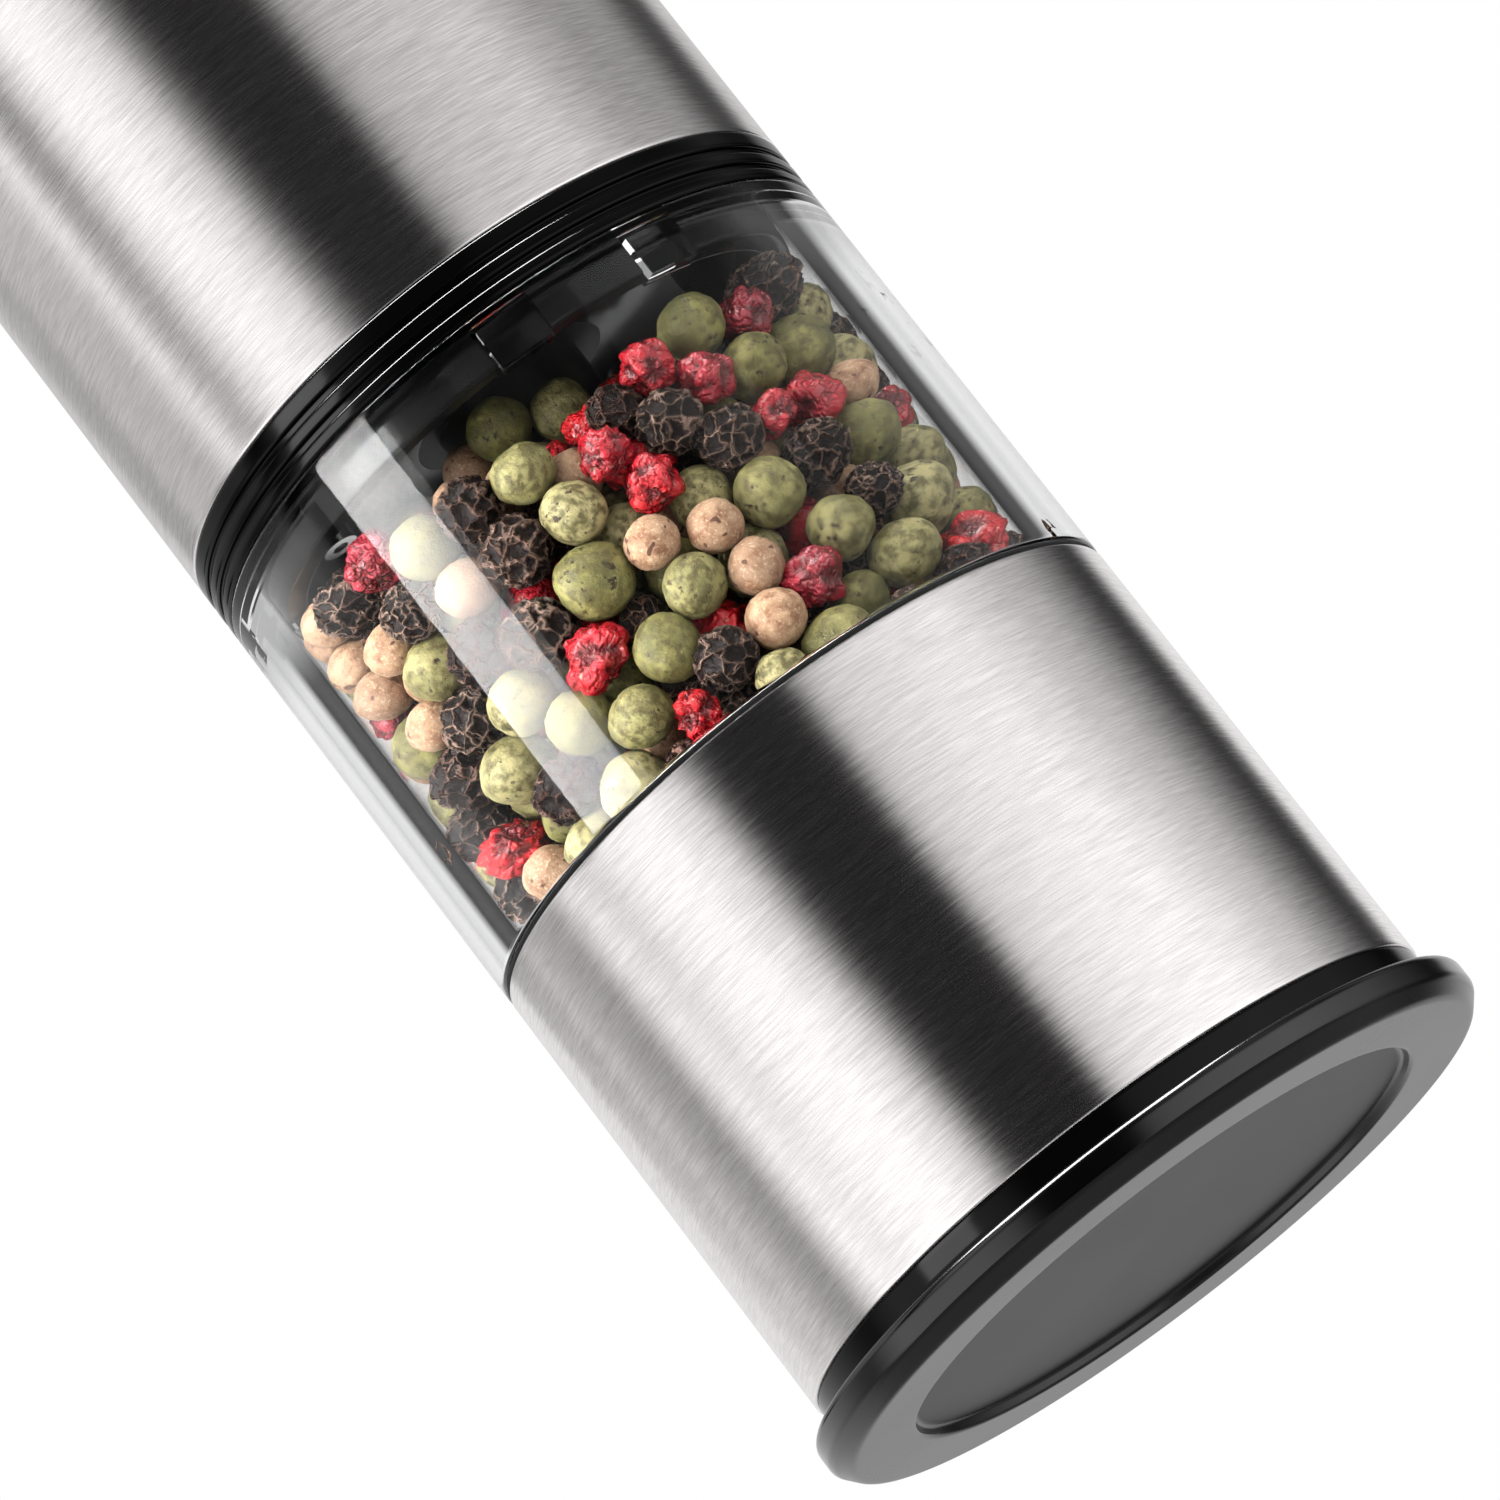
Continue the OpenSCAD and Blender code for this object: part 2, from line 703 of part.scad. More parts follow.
// Corners of the two-by-two block of cells
function cell_at(i) = cell_offset * [i == 0 || i == 3 ? 1 : -1, i < 2 ? 1 : -1];

// Contact strip over the cells i and j, made larger by grow
module contact(i, j, z, grow = 0) {
    reach = 5 + grow;
    low = [min(cell_at(i).x, cell_at(j).x), min(cell_at(i).y, cell_at(j).y)];
    high = [max(cell_at(i).x, cell_at(j).x), max(cell_at(i).y, cell_at(j).y)];
    translate([low.x - reach, low.y - reach, z - grow])
        cube([high.x - low.x + 2 * reach, high.y - low.y + 2 * reach, contact_t + 2 * grow]);
}

module lower_contacts() {
    color(bright) {
        contact(0, 1, bay_z);
        contact(2, 3, bay_z);
    }
}

module upper_contacts() {
    z = bay_top - contact_t;
    color(bright) {
        contact(1, 2, z);
        contact(0, 0, z);
        contact(3, 3, z);
    }
}

module battery_holder() {
    color(black) difference() {
        union() {
            translate([0, 0, holder_z]) cylinder(r = holder_r, h = holder_t);
            translate([0, 0, bay_top]) cylinder(r = holder_r, h = holder_t);
            for (turn = [0, 90]) rotate([0, 0, turn]) translate([-wall_reach, -wall_t / 2, holder_z])
                cube([2 * wall_reach, wall_t, bay_top - holder_z + over]);
            at(board_r - 3, bay_top, 4, 45) cylinder(r = tab_r, h = holder_t + standoff_h);
        }
        contact(0, 1, bay_z, fit);
        contact(2, 3, bay_z, fit);
        contact(1, 2, bay_top - contact_t, fit);
        contact(0, 0, bay_top - contact_t, fit);
        contact(3, 3, bay_top - contact_t, fit);
        strip_slots(holder_z - over, holder_t + 2 * over);
        strip_slots(bay_top - over, holder_t + 2 * over);
        at(holder_screw_r, holder_z - over, 2, 90) cylinder(r = small_screw_r + fit, h = holder_t + 2 * over);
    }
}

module battery_cells() {
    color("goldenrod") for (i = [0 : 3]) translate([cell_at(i).x, cell_at(i).y, 0]) {
        upright = i % 2 == 0;
        body_z = bay_z + contact_t + (upright ? cell_spring_l : cell_button_h);
        button_z = upright ? body_z + cell_l - 2 * cell_button_h : body_z - cell_button_h;
        translate([0, 0, body_z]) cylinder(d = cell_d, h = cell_l - cell_button_h);
        translate([0, 0, button_z]) cylinder(r = cell_button_r, h = 2 * cell_button_h);
    }
}

module contact_springs() {
    color(bright) for (i = [0 : 3]) translate([cell_at(i).x, cell_at(i).y, 0]) {
        z = i % 2 == 0 ? bay_z + contact_t : bay_top - contact_t - cell_spring_l;
        coil(cell_spring_r, spring_wire, z, z + cell_spring_l, 2.5);
    }
}

module holder_screws() {
    color(bright) at(holder_screw_r, bay_z, 2, 90) mirror([0, 0, 1])
        screw(small_screw_r, holder_t + plate_t + tab_h - over, small_head_r, small_head_h);
}

module lead_strips() {
    low_z = motor_top + slip;
    high_z = board_z - strip_t;
    color(brass) for (side = [0, 180]) rotate([0, 0, side]) translate([0, -strip_w / 2, 0]) {
        translate([strip_r, 0, low_z]) cube([strip_t, strip_w, board_z - low_z]);
        translate([7, 0, low_z]) cube([strip_r - 7, strip_w, strip_t]);
        translate([board_r - 2, 0, high_z]) cube([strip_r - board_r + 2, strip_w, strip_t]);
    }
}

module circuit_board() {
    color(board_green) translate([0, 0, board_z]) cylinder(r = board_r, h = board_t);
}

module switch_body() {
    top = board_z + board_t;
    color(black) difference() {
        translate([-switch_w / 2, -switch_w / 2, top]) cube([switch_w, switch_w, switch_h]);
        translate([0, 0, top + 0.1]) cylinder(r = plunger_r + run, h = switch_h);
    }
}

module switch_plunger() {
    low_z = board_z + board_t + 0.2 + button_travel;
    color(bright) translate([0, 0, low_z]) cylinder(r = plunger_r, h = plunger_top - low_z);
}

// ---------- upper tube and button ----------

module upper_shell() {
    color(steel) tube(body_r, tube_r, shell_z, shell_h);
}

module top_cap() {
    rim_round = 1.5;
    rim_top = shell_top + top_rim_h;
    hole_r = button_r + slip;
    color(black) difference() {
        union() {
            rotate_extrude() polygon(concat(
                [[hole_r, cap_plate_z], [lining_r, cap_plate_z], [lining_r, shell_top], [body_r, shell_top]],
                arc([body_r - rim_round, rim_top - rim_round], rim_round, 0, 90),
                [[hole_r, rim_top]]));
            tube(lining_r, lining_r - skirt_wall, shell_top - skirt_h, skirt_h);
            at(tower_at, retainer_z + retainer_t) cylinder(r = tower_r, h = cap_plate_z - retainer_z);
        }
        at(tower_at, retainer_z) cylinder(r = small_screw_r + fit, h = 4);
    }
}

module button_retainer() {
    color(black) difference() {
        tube(lining_r - skirt_wall - fit, switch_w * 0.9, retainer_z, retainer_t);
        at(tower_at, retainer_z - over) cylinder(r = small_screw_r + fit, h = retainer_t + 2 * over);
    }
}

module retainer_screws() {
    color(bright) at(tower_at, retainer_z) screw(small_screw_r, 3.6, small_head_r, small_head_h);
}

module button_spring() {
    color(steel) coil(button_r - 4.5, spring_wire, retainer_z + retainer_t, button_roof_z, 2.5);
}

module push_button() {
    rise_z = shell_top + top_rim_h + button_rise;
    crown = 1;
    color(black) rotate_extrude() polygon(concat(
        [[0, plunger_top + boss_gap], [3, plunger_top + boss_gap], [3, button_roof_z],
         [button_r - button_wall, button_roof_z], [button_r - button_wall, button_lip_z],
         [button_r + button_lip, button_lip_z], [button_r + button_lip, button_lip_z + button_lip_h],
         [button_r, button_lip_z + button_lip_h]],
        arc([button_r - 1.2, rise_z - 1.2], 1.2, 0, 75, 5),
        [[button_r * 0.55, rise_z + crown * 0.8], [0, rise_z + crown]]));
}

base_cap();
base_ring();
base_screws();
lower_sleeve();
sleeve_seal();
pepper_jar();
grinder_housing();
burr_ring();
shaft_guide();
drive_shaft();
shaft_clip();
burr_spring();
burr_cone();
grind_knob();
lock_ring();
neck_seal();
output_bush();
gearbox_screws();
frame_screws();
motor_frame();
gearbox_case();
gearbox_cover();
output_carrier();
planet(0, low_gear_z);  // low_planet_1
planet(1, low_gear_z);  // low_planet_2
planet(2, low_gear_z);  // low_planet_3
sun_carrier();
planet(0, high_gear_z);  // high_planet_1
planet(1, high_gear_z);  // high_planet_2
planet(2, high_gear_z);  // high_planet_3
motor_pinion();
motor_armature();
motor_can();
motor_magnets();
motor_end_cap();
motor_screws();
battery_holder();
battery_cells();
lower_contacts();
upper_contacts();
contact_springs();
holder_screws();
lead_strips();
circuit_board();
switch_body();
switch_plunger();
upper_shell();
top_cap();
button_retainer();
retainer_screws();
button_spring();
push_button();
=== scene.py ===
# %% [markdown]
# # A battery pepper mill, from its packed frame
# The mill's construction is already fixed in a frame of named parts, at real size and in metres. This
# lesson gives that frame its looks: turned shells with rounded edges, brushed steel, clear acrylic, and a
# jar full of mixed peppercorns. Nothing here moves a part. A new piece takes its place from the part
# that it stands for.

# %% The frame
import json
import math

import bpy
import numpy as np
from mathutils import Matrix, Vector


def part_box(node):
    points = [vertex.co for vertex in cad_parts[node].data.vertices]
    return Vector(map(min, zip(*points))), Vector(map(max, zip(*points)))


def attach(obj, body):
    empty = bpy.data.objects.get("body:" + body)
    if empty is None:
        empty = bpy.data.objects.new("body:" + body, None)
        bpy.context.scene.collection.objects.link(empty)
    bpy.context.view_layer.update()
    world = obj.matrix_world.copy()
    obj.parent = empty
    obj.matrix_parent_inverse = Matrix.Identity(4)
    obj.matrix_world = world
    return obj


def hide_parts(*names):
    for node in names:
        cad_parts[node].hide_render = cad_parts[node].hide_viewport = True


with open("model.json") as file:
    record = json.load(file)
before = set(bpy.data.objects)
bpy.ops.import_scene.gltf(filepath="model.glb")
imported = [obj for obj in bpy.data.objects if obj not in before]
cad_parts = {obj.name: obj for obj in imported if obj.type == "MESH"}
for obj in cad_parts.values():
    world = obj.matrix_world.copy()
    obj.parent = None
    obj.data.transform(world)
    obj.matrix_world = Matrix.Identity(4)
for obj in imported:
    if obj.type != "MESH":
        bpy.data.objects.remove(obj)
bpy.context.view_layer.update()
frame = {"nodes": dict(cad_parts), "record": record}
MM = 0.001
scene = bpy.context.scene

# %% [markdown]
# ## Sizes from the frame
# Outer heights and radii are read from the boxes of the frame's parts, so a piece can't drift from the part
# that it stands for. Only bores, steps and edges, which no box shows, are written as numbers.

# %% Small helpers
def low(part):
    """Height of a part's bottom."""
    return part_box(part)[0].z


def high(part):
    """Height of a part's top."""
    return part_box(part)[1].z


def reach(part):
    """Radius of a turned part."""
    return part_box(part)[1].x


def placed(name, data):
    """A new object with this data, in the scene."""
    piece = bpy.data.objects.new(name, data)
    scene.collection.objects.link(piece)
    return piece


def mesh_of(name, points, edges=(), faces=()):
    mesh = bpy.data.meshes.new(name)
    mesh.from_pydata(points, edges, faces)
    return mesh


def ring_of(radius, height, angles):
    """Points on a circle round the axis."""
    return [(radius * math.cos(a), radius * math.sin(a), height) for a in angles]


print("the mill is", round((high("push_button") - low("base_cap")) / MM, 1), "mm tall")

# %% [markdown]
# ## The camera
# The photograph looks up at the mill from half a metre away through a long lens, and it is rolled, so that
# the mill lies across the picture. A camera is easiest to read as a place, two angles for where it looks
# from, and a roll. It looks along its own -Z, so its matrix has its right, up and back directions as
# columns. A lamp does the same.

# %% Camera
CAMERA_PLACE = Vector((0, -0.5106, -0.0923))
SEEN_FROM = math.radians(-89.793)
SEEN_FROM_BELOW = math.radians(-15.162)
CAMERA_ROLL = math.radians(-37.652)
LENS_MM = 180.1
SENSOR_MM = 36
NEAREST = 0.02


def direction(azimuth, elevation):
    """Unit vector at these two angles, in radians."""
    flat = math.cos(elevation)
    return Vector((flat * math.cos(azimuth), flat * math.sin(azimuth), math.sin(elevation)))


def looking(place, back, roll=0.0):
    """The matrix of a camera or lamp at this place, which looks away from the direction back."""
    level = Vector((0, 0, 1)).cross(back).normalized()
    right = math.cos(roll) * level + math.sin(roll) * back.cross(level)
    return Matrix.Translation(place) @ Matrix((right, back.cross(right), back)).transposed().to_4x4()


scene.camera = placed("camera", bpy.data.cameras.new("camera"))
scene.camera.data.lens = LENS_MM
scene.camera.data.sensor_width = SENSOR_MM
scene.camera.data.clip_start = NEAREST
scene.camera.matrix_world = looking(CAMERA_PLACE, direction(SEEN_FROM, SEEN_FROM_BELOW), CAMERA_ROLL)
print("camera is", round(CAMERA_PLACE.length, 3), "m from the mill's foot")

# %% [markdown]
# ## Writing nodes as sums
# Materials and Geometry Nodes are both graphs of nodes. Wiring each Math node by hand hides the formula,
# so one small class wraps an output socket and gives it Python's operators. Then `1 - mask * 0.5` adds
# the nodes it needs. Other nodes come from one method, which takes the node's type, its settings, and the
# values or wires of its sockets.

# %% Wires and node books
class Wire:
    """An output socket. Arithmetic on it adds Math nodes to its book."""

    def __init__(self, book, socket):
        self.book = book
        self.socket = socket

    def math(self, operation, *others):
        return self.book.math(operation, self, *others)

    def __add__(self, other):
        return self.math("ADD", other)

    def __sub__(self, other):
        return self.math("SUBTRACT", other)

    def __rsub__(self, other):
        return self.book.math("SUBTRACT", other, self)

    def __mul__(self, other):
        return self.math("MULTIPLY", other)

    def __truediv__(self, other):
        return self.math("DIVIDE", other)

    __radd__ = __add__
    __rmul__ = __mul__

    def between(self, start, end):
        """0 at start and 1 at end, with a soft rise in between."""
        return self.book.node("ShaderNodeMapRange", {"interpolation_type": "SMOOTHSTEP"},
                              {"Value": self, "From Min": start, "From Max": end})


class Book:
    """A node tree, the one method that adds a node to it, and short ways to the commonest nodes."""

    def __init__(self, tree):
        self.tree = tree

    def node(self, kind, settings=None, sockets=None, output=0):
        node = self.tree.nodes.new(kind)
        settings = dict(settings or {})
        stops = settings.pop("stops", None)
        for name, value in settings.items():
            setattr(node, name, value)
        if stops:
            self.set_stops(node.color_ramp, stops)
        for key, value in (sockets or {}).items():
            self.feed(self.find(node.inputs, key), value)
        return Wire(self, self.find(node.outputs, output)) if node.outputs else None

    def math(self, operation, *values):
        return self.node("ShaderNodeMath", {"operation": operation}, dict(enumerate(values)))

    def vector(self, operation, *values, **named):
        return self.node("ShaderNodeVectorMath", {"operation": operation}, {**dict(enumerate(values)), **named})

    def noise(self, place, scale=1.0, detail=2.0, roughness=0.5, seed=0.0, output=0):
        return self.node("ShaderNodeTexNoise", {"noise_dimensions": "4D"}, {
            "Vector": place, "Scale": scale, "Detail": detail, "Roughness": roughness, "W": seed}, output)

    @staticmethod
    def find(sockets, key):
        """A socket by number, or the live one of that name."""
        if isinstance(key, int):
            return sockets[key]
        return next(s for s in sockets if s.enabled and s.name == key)

    def feed(self, socket, value):
        if isinstance(value, Wire):
            self.tree.links.new(value.socket, socket)
        else:
            socket.default_value = value

    @staticmethod
    def set_stops(ramp, stops):
        while len(ramp.elements) < len(stops):
            ramp.elements.new(0.5)
        for element, (place, colour) in zip(ramp.elements, stops):
            element.position = place
            element.color = (*colour, 1)


print("operators:", ", ".join(n for n in vars(Wire) if n.startswith("__") and n != "__init__"))

# %% [markdown]
# ## Helpers for finishes
# A finish is a Principled shader with a few wires in it. Patterns are laid out on Object coordinates, in
# metres on the mill itself, so that they stay put when a part moves or the camera does.

# %% Finish helpers
def grey(level):
    return (level, level, level)


class Finish(Book):
    """A material in the making."""

    def __init__(self, name):
        self.material = bpy.data.materials.new(name)
        self.material.use_nodes = True
        super().__init__(self.material.node_tree)
        self.tree.nodes.clear()

    def place(self):
        return self.node("ShaderNodeTexCoord", output="Object")

    def xyz(self):
        """The three Object coordinates, each as a wire."""
        parts = self.node("ShaderNodeSeparateXYZ", None, {0: self.place()}).socket.node.outputs
        return [Wire(self, part) for part in parts]

    def texture(self, scale, detail=2.0, **more):
        """Noise on Object coordinates, in waves to the metre, with one scale or one for each axis."""
        if isinstance(scale, tuple):
            return self.noise(self.vector("MULTIPLY", self.place(), scale), detail=detail, **more)
        return self.noise(self.place(), scale, detail, **more)

    def mix(self, factor, first, second):
        colours = {"Factor": factor, "A": self.opaque(first), "B": self.opaque(second)}
        return self.node("ShaderNodeMix", {"data_type": "RGBA"}, colours, output="Result")

    @staticmethod
    def opaque(colour):
        return colour if isinstance(colour, Wire) else (*colour, 1)

    def bump(self, height, strength, distance):
        return self.node("ShaderNodeBump", None, {"Height": height, "Strength": strength, "Distance": distance})

    def principled(self, colour, **sockets):
        named = {name.replace("_", " "): value for name, value in sockets.items()}
        return self.node("ShaderNodeBsdfPrincipled", None, {"Base Color": self.opaque(colour), **named})

    def blend(self, factor, first, second):
        """One shader where the factor is 0, the other where it is 1."""
        return self.node("ShaderNodeMixShader", None, {0: factor, 1: first, 2: second})

    def surface(self, shader):
        self.node("ShaderNodeOutputMaterial", None, {"Surface": shader})
        return self.material

    def made_of(self, colour, **sockets):
        return self.surface(self.principled(colour, **sockets))


# %% [markdown]
# ## The light tent
# Polished metal shows its surroundings, so the bands down a steel tube in a studio picture are the
# photographer's soft boxes and black flags. Painting them on the steel would be wrong from any other
# side. Here a closed drum of glowing wall stands round the mill, with its brightness set by the
# direction. Only reflections and refractions see it: it lights nothing, casts no shadow and isn't in
# the picture.

# %% Light tent
TENT_RADIUS = 1.1
TENT_BOTTOM = -0.7
TENT_TOP = 1.3
TENT_SEGMENTS = 120
TENT_ENDS = 0.3
BRIGHTEST = 1.9
MIDDLE_WALL = (0.31, 0.33)
HIGH_WALL = (0.41, 0.43)
# Direction in degrees, and the wall's brightness there: low down, which the sleeve shows, then at the
# heights that the jar and the upper tube show.
TENT_WALL = [
    (0, 1.05), (9, 0.82), (16, 0.52), (24, 0.3), (34, 0.12), (42, 0.03), (52, 0.03), (60, 0.95), (92, 0.85),
    (136, 0.92), (152, 0.76), (168, 0.34), (175, 0.3), (182, 0.95), (190, 1.7), (226, 1.7), (231, 1.45),
    (235, 1.35), (239, 1.1), (242, 0.7), (247, 0.12), (250, 0.01), (279, 0.008), (282, 0.03), (287, 0.95),
    (290, 1.25), (298, 1.5), (315, 1.75), (335, 1.8), (347, 1.5)]
TENT_WALL_JAR = [
    (0, 0.4), (20, 0.3), (38, 0.02), (50, 0.02), (58, 0.9), (90, 0.8), (122, 0.95), (128, 0.02), (142, 0.02),
    (150, 0.6), (180, 0.25), (226, 0.25), (240, 0.1), (250, 0.02), (285, 0.02), (300, 0.15), (330, 0.3)]
TENT_WALL_HIGH = [
    (0, 0.18), (9, 0.2), (24, 0.4), (38, 0.1), (50, 0.05), (60, 0.6), (92, 0.7), (136, 0.5), (155, 0.72),
    (171, 0.85), (182, 1.35), (187, 0.3), (190, 0.01), (196, 0.01), (202, 0.85), (212, 1.55), (222, 1.4),
    (235, 0.95), (242, 0.32), (248, 0.08), (252, 0.02), (258, 0.006), (281, 0.006), (285, 0.08), (288, 0.18),
    (293, 0.34), (298, 0.43), (315, 0.47), (335, 0.54), (347, 0.34), (354, 0.22)]


def glow(name, colour):
    finish = Finish(name)
    light = finish.node("ShaderNodeEmission", None, {"Color": colour(finish), "Strength": BRIGHTEST})
    material = finish.surface(light)
    material.cycles.emission_sampling = "NONE"
    return material


def wall_colour(finish):
    """Brightness by direction, read from ramps that go once round, one for each height on the wall."""
    x, y, z = finish.xyz()
    share = (y.math("ARCTAN2", x) / math.tau + 1).math("FRACT")
    ramps = []
    for wall in (TENT_WALL, TENT_WALL_JAR, TENT_WALL_HIGH):
        stops = [(angle / 360, grey(level / BRIGHTEST)) for angle, level in wall + [(360, wall[0][1])]]
        ramps.append(finish.node("ShaderNodeValToRGB", {"stops": stops}, {0: share}))
    below = finish.mix(z.between(*MIDDLE_WALL), ramps[0], ramps[1])
    return finish.mix(z.between(*HIGH_WALL), below, ramps[2])


def drum(name, count):
    """A closed drum round the axis with this many sides, whose ends have the second material."""
    angles = [math.tau * i / count for i in range(count)]
    points = [point for height in (TENT_BOTTOM, TENT_TOP) for point in ring_of(TENT_RADIUS, height, angles)]
    after = [(i + 1) % count for i in range(count)]
    wall = [(j, i, i + count, j + count) for i, j in enumerate(after)]
    ends = [tuple(range(count)), tuple(reversed(range(count, 2 * count)))]
    mesh = mesh_of(name, points, faces=wall + ends)
    mesh.polygons.foreach_set("material_index", [0] * count + [1, 1])
    return placed(name, mesh)


def show_only_to(piece, *rays):
    for ray in ("camera", "diffuse", "glossy", "transmission", "volume_scatter", "shadow"):
        setattr(piece, "visible_" + ray, ray in rays)


tent = drum("light_tent", TENT_SEGMENTS)
tent.data.materials.append(glow("tent_wall", wall_colour))
tent.data.materials.append(glow("tent_ends", lambda finish: finish.opaque(grey(TENT_ENDS / BRIGHTEST))))
show_only_to(tent, "glossy", "transmission")
print("tent wall has", len(TENT_WALL + TENT_WALL_JAR + TENT_WALL_HIGH), "brightness stops")

# %% [markdown]
# ## Lamps, world and floor
# The lamps that light the mill show in no reflection, so they can be soft and few. The cards are the other
# way round: bright shapes that light nothing and are only seen in a glossy surface. Each is shown to a few
# pieces only, by light linking. One card gives the jar its pale stripe, one a grey patch on the black
# rings, one draws the white lines on upper edges, and one does the same more softly lower down.
#
# The world is white to the camera and gives only a small part of that as light. The floor is seen by
# the camera alone, and only from above, so the view from below passes through it.

# %% Lamps and world
WORLD_LIGHT = 0.02
LAMP_DISTANCE = 0.9
LAMPS = {  # azimuth, elevation, width, height, radiance
    "key": (252, 44, 0.26, 0.26, 7.8),
    "right_fill": (325, 25, 0.5, 0.5, 1.5),
    "left_fill": (205, 25, 0.4, 0.4, 0.9),
    "front_fill": (270, 10, 0.4, 0.4, 0.6),
    "underside": (250, -60, 0.6, 0.6, 0.8),
}
CARDS = {  # the same numbers, and the pieces that it is shown to
    "stripe_card": (218, 16, 0.36, 0.36, 68.0, ["jar"]),
    "ring_card": (216, 16, 0.36, 0.3, 9.0, ["ring", "foot_ring"]),
    "overhead_card": (270, 84, 0.8, 0.8, 130.0, ["ring", "top_rim", "button"]),
    "foot_card": (270, 84, 0.8, 0.8, 30.0, ["jar", "foot_ring", "cap"]),
}
AIM = Vector((0, 0, 0.06))


def make_lamp(name, azimuth, elevation, width, height, radiance, seen_in=()):
    data = bpy.data.lights.new(name, "AREA")
    data.shape = "RECTANGLE"
    data.size = width
    data.size_y = height
    data.energy = math.pi * radiance * width * height
    lamp = placed(name, data)
    out = direction(math.radians(azimuth), math.radians(elevation))
    lamp.matrix_world = looking(AIM + out * LAMP_DISTANCE, out)
    lamp.visible_camera = False
    lamp.visible_glossy = bool(seen_in)
    lamp.visible_diffuse = not seen_in


def make_world():
    world = bpy.data.worlds.new("white_room")
    scene.world = world
    world.use_nodes = True
    book = Book(world.node_tree)
    book.tree.nodes.clear()
    rays = book.node("ShaderNodeLightPath").socket.node.outputs
    strength = Wire(book, rays["Is Camera Ray"]) * (1 - WORLD_LIGHT) + WORLD_LIGHT
    book.node("ShaderNodeOutputWorld", None, {
        "Surface": book.node("ShaderNodeBackground", None, {"Color": (1, 1, 1, 1), "Strength": strength})})
    world.cycles_visibility.glossy = False


for lamp_name, numbers in {**LAMPS, **CARDS}.items():
    make_lamp(lamp_name, *numbers)
make_world()
scene.view_settings.view_transform = "Standard"
print("lamps:", list(LAMPS), " cards:", list(CARDS))

# %% Floor
FLOOR_HALF = 3.0
FLOOR_DROP = 0.3 * MM


def floor_finish():
    finish = Finish("pale_floor")
    paint = finish.node("ShaderNodeBsdfDiffuse", None, {"Color": finish.opaque(grey(0.86))})
    shine = finish.node("ShaderNodeEmission", None, {"Color": finish.opaque(grey(1.0))})
    behind = finish.node("ShaderNodeNewGeometry", output="Backfacing")
    clear = finish.node("ShaderNodeBsdfTransparent")
    return finish.surface(finish.blend(behind, finish.blend(0.5, paint, shine), clear))


square = [(x * FLOOR_HALF, y * FLOOR_HALF, -FLOOR_DROP) for x, y in ((-1, -1), (1, -1), (1, 1), (-1, 1))]
floor = placed("floor", mesh_of("floor", square, faces=[(0, 1, 2, 3)]))
floor.data.materials.append(floor_finish())
show_only_to(floor, "camera")
print("floor:", 2 * FLOOR_HALF, "m wide")

# %% [markdown]
# ## Brushed steel
# Both tubes are thin steel, brushed round and round. Brush lines that run round the tube blur a
# reflection up and down and leave it sharp sideways, which draws it out into straight bands. Anisotropy
# turned by a quarter does that. Noise squeezed hard along Z makes the lines: they vary the tone
# and the roughness, and they tip the surface a little sideways, which frays the edges of the bands.

# %% Brushed steel
LINES_ROUND = 380
LINES_UP = 9000
FRAY = 0.022


def brushed_steel():
    finish = Finish("brushed_steel")
    fine = finish.texture((LINES_ROUND, LINES_ROUND, LINES_UP), 3, roughness=0.6)
    broad = finish.texture((35, 35, 1500))
    cloud = finish.texture(30, 3)
    lines = (fine - 0.5) * 0.85 + (broad - 0.5) * 0.15
    tone = finish.mix((lines * 1.3 + 0.5).between(0.2, 0.8), (0.60, 0.575, 0.57), (0.87, 0.84, 0.835))
    normal = finish.node("ShaderNodeNewGeometry", output="Normal")
    around = finish.vector("CROSS_PRODUCT", (0, 0, 1), normal)
    tip = finish.texture((360, 360, 8000), seed=4)
    tipped = finish.vector("ADD", normal, finish.vector("SCALE", around, Scale=(tip - 0.5) * FRAY * 2))
    return finish.made_of(
        tone, Metallic=1.0, Roughness=0.23 + lines * 0.08 + (cloud - 0.5) * 0.03,
        Anisotropic=0.95, Anisotropic_Rotation=0.25, Normal=finish.vector("NORMALIZE", tipped))


# %% [markdown]
# ## Plastics and rubber
# The rings are glossy black plastic, and the base cap is the same plastic with a satin face. Moulded
# plastic is never quite even: it has a faint ripple, and handling leaves it less glossy in places.

# %% Plastics and rubber
def unevenness(finish):
    """A broad ripple and a fine grain, which all moulded plastic has."""
    return finish.texture(70, 3), finish.texture(3500, 1)


def moulded(name, colour, gloss, grain=0.0, shine=0.5):
    """Moulded plastic: gloss is its roughness, and grain the height of its fine texture."""
    finish = Finish(name)
    cloud, fine = unevenness(finish)
    paler = tuple(min(1, c * 1.35 + 0.002) for c in colour)
    return finish.made_of(
        finish.mix(cloud.between(0.3, 0.75), colour, paler),
        Roughness=gloss + (cloud - 0.5) * 0.08, Specular_IOR_Level=shine,
        Normal=finish.bump(cloud * 0.02 + fine * grain, 0.5, 0.4 * MM))


PANEL_R = 20.6 * MM
SIDE_FROM = 0.9 * MM
EDGE_BLUR = 0.3 * MM


def cap_finish():
    """One moulding with three surfaces: a fine-grained panel, a satin rim and a polished side, whose darker
    colour is painted shade.
    """
    finish = Finish("satin_cap")
    x, y, z = finish.xyz()
    panel = 1 - (x * x + y * y).math("SQRT").between(PANEL_R, PANEL_R + EDGE_BLUR)
    # The side is polished, with lower roughness, and its colour is darkened to near black as painted shade.
    side = z.between(SIDE_FROM, SIDE_FROM + EDGE_BLUR) * (1 - panel)
    cloud, grain = unevenness(finish)
    face = finish.mix(panel, (0.034, 0.034, 0.037), (0.030, 0.030, 0.033))
    return finish.made_of(
        finish.mix(side, face, grey(0.004)),
        Roughness=0.27 + panel * 0.2 - side * 0.12 + (cloud - 0.5) * 0.06,
        Normal=finish.bump(cloud * 0.01 + grain * panel * 0.03, 0.5, 0.4 * MM))


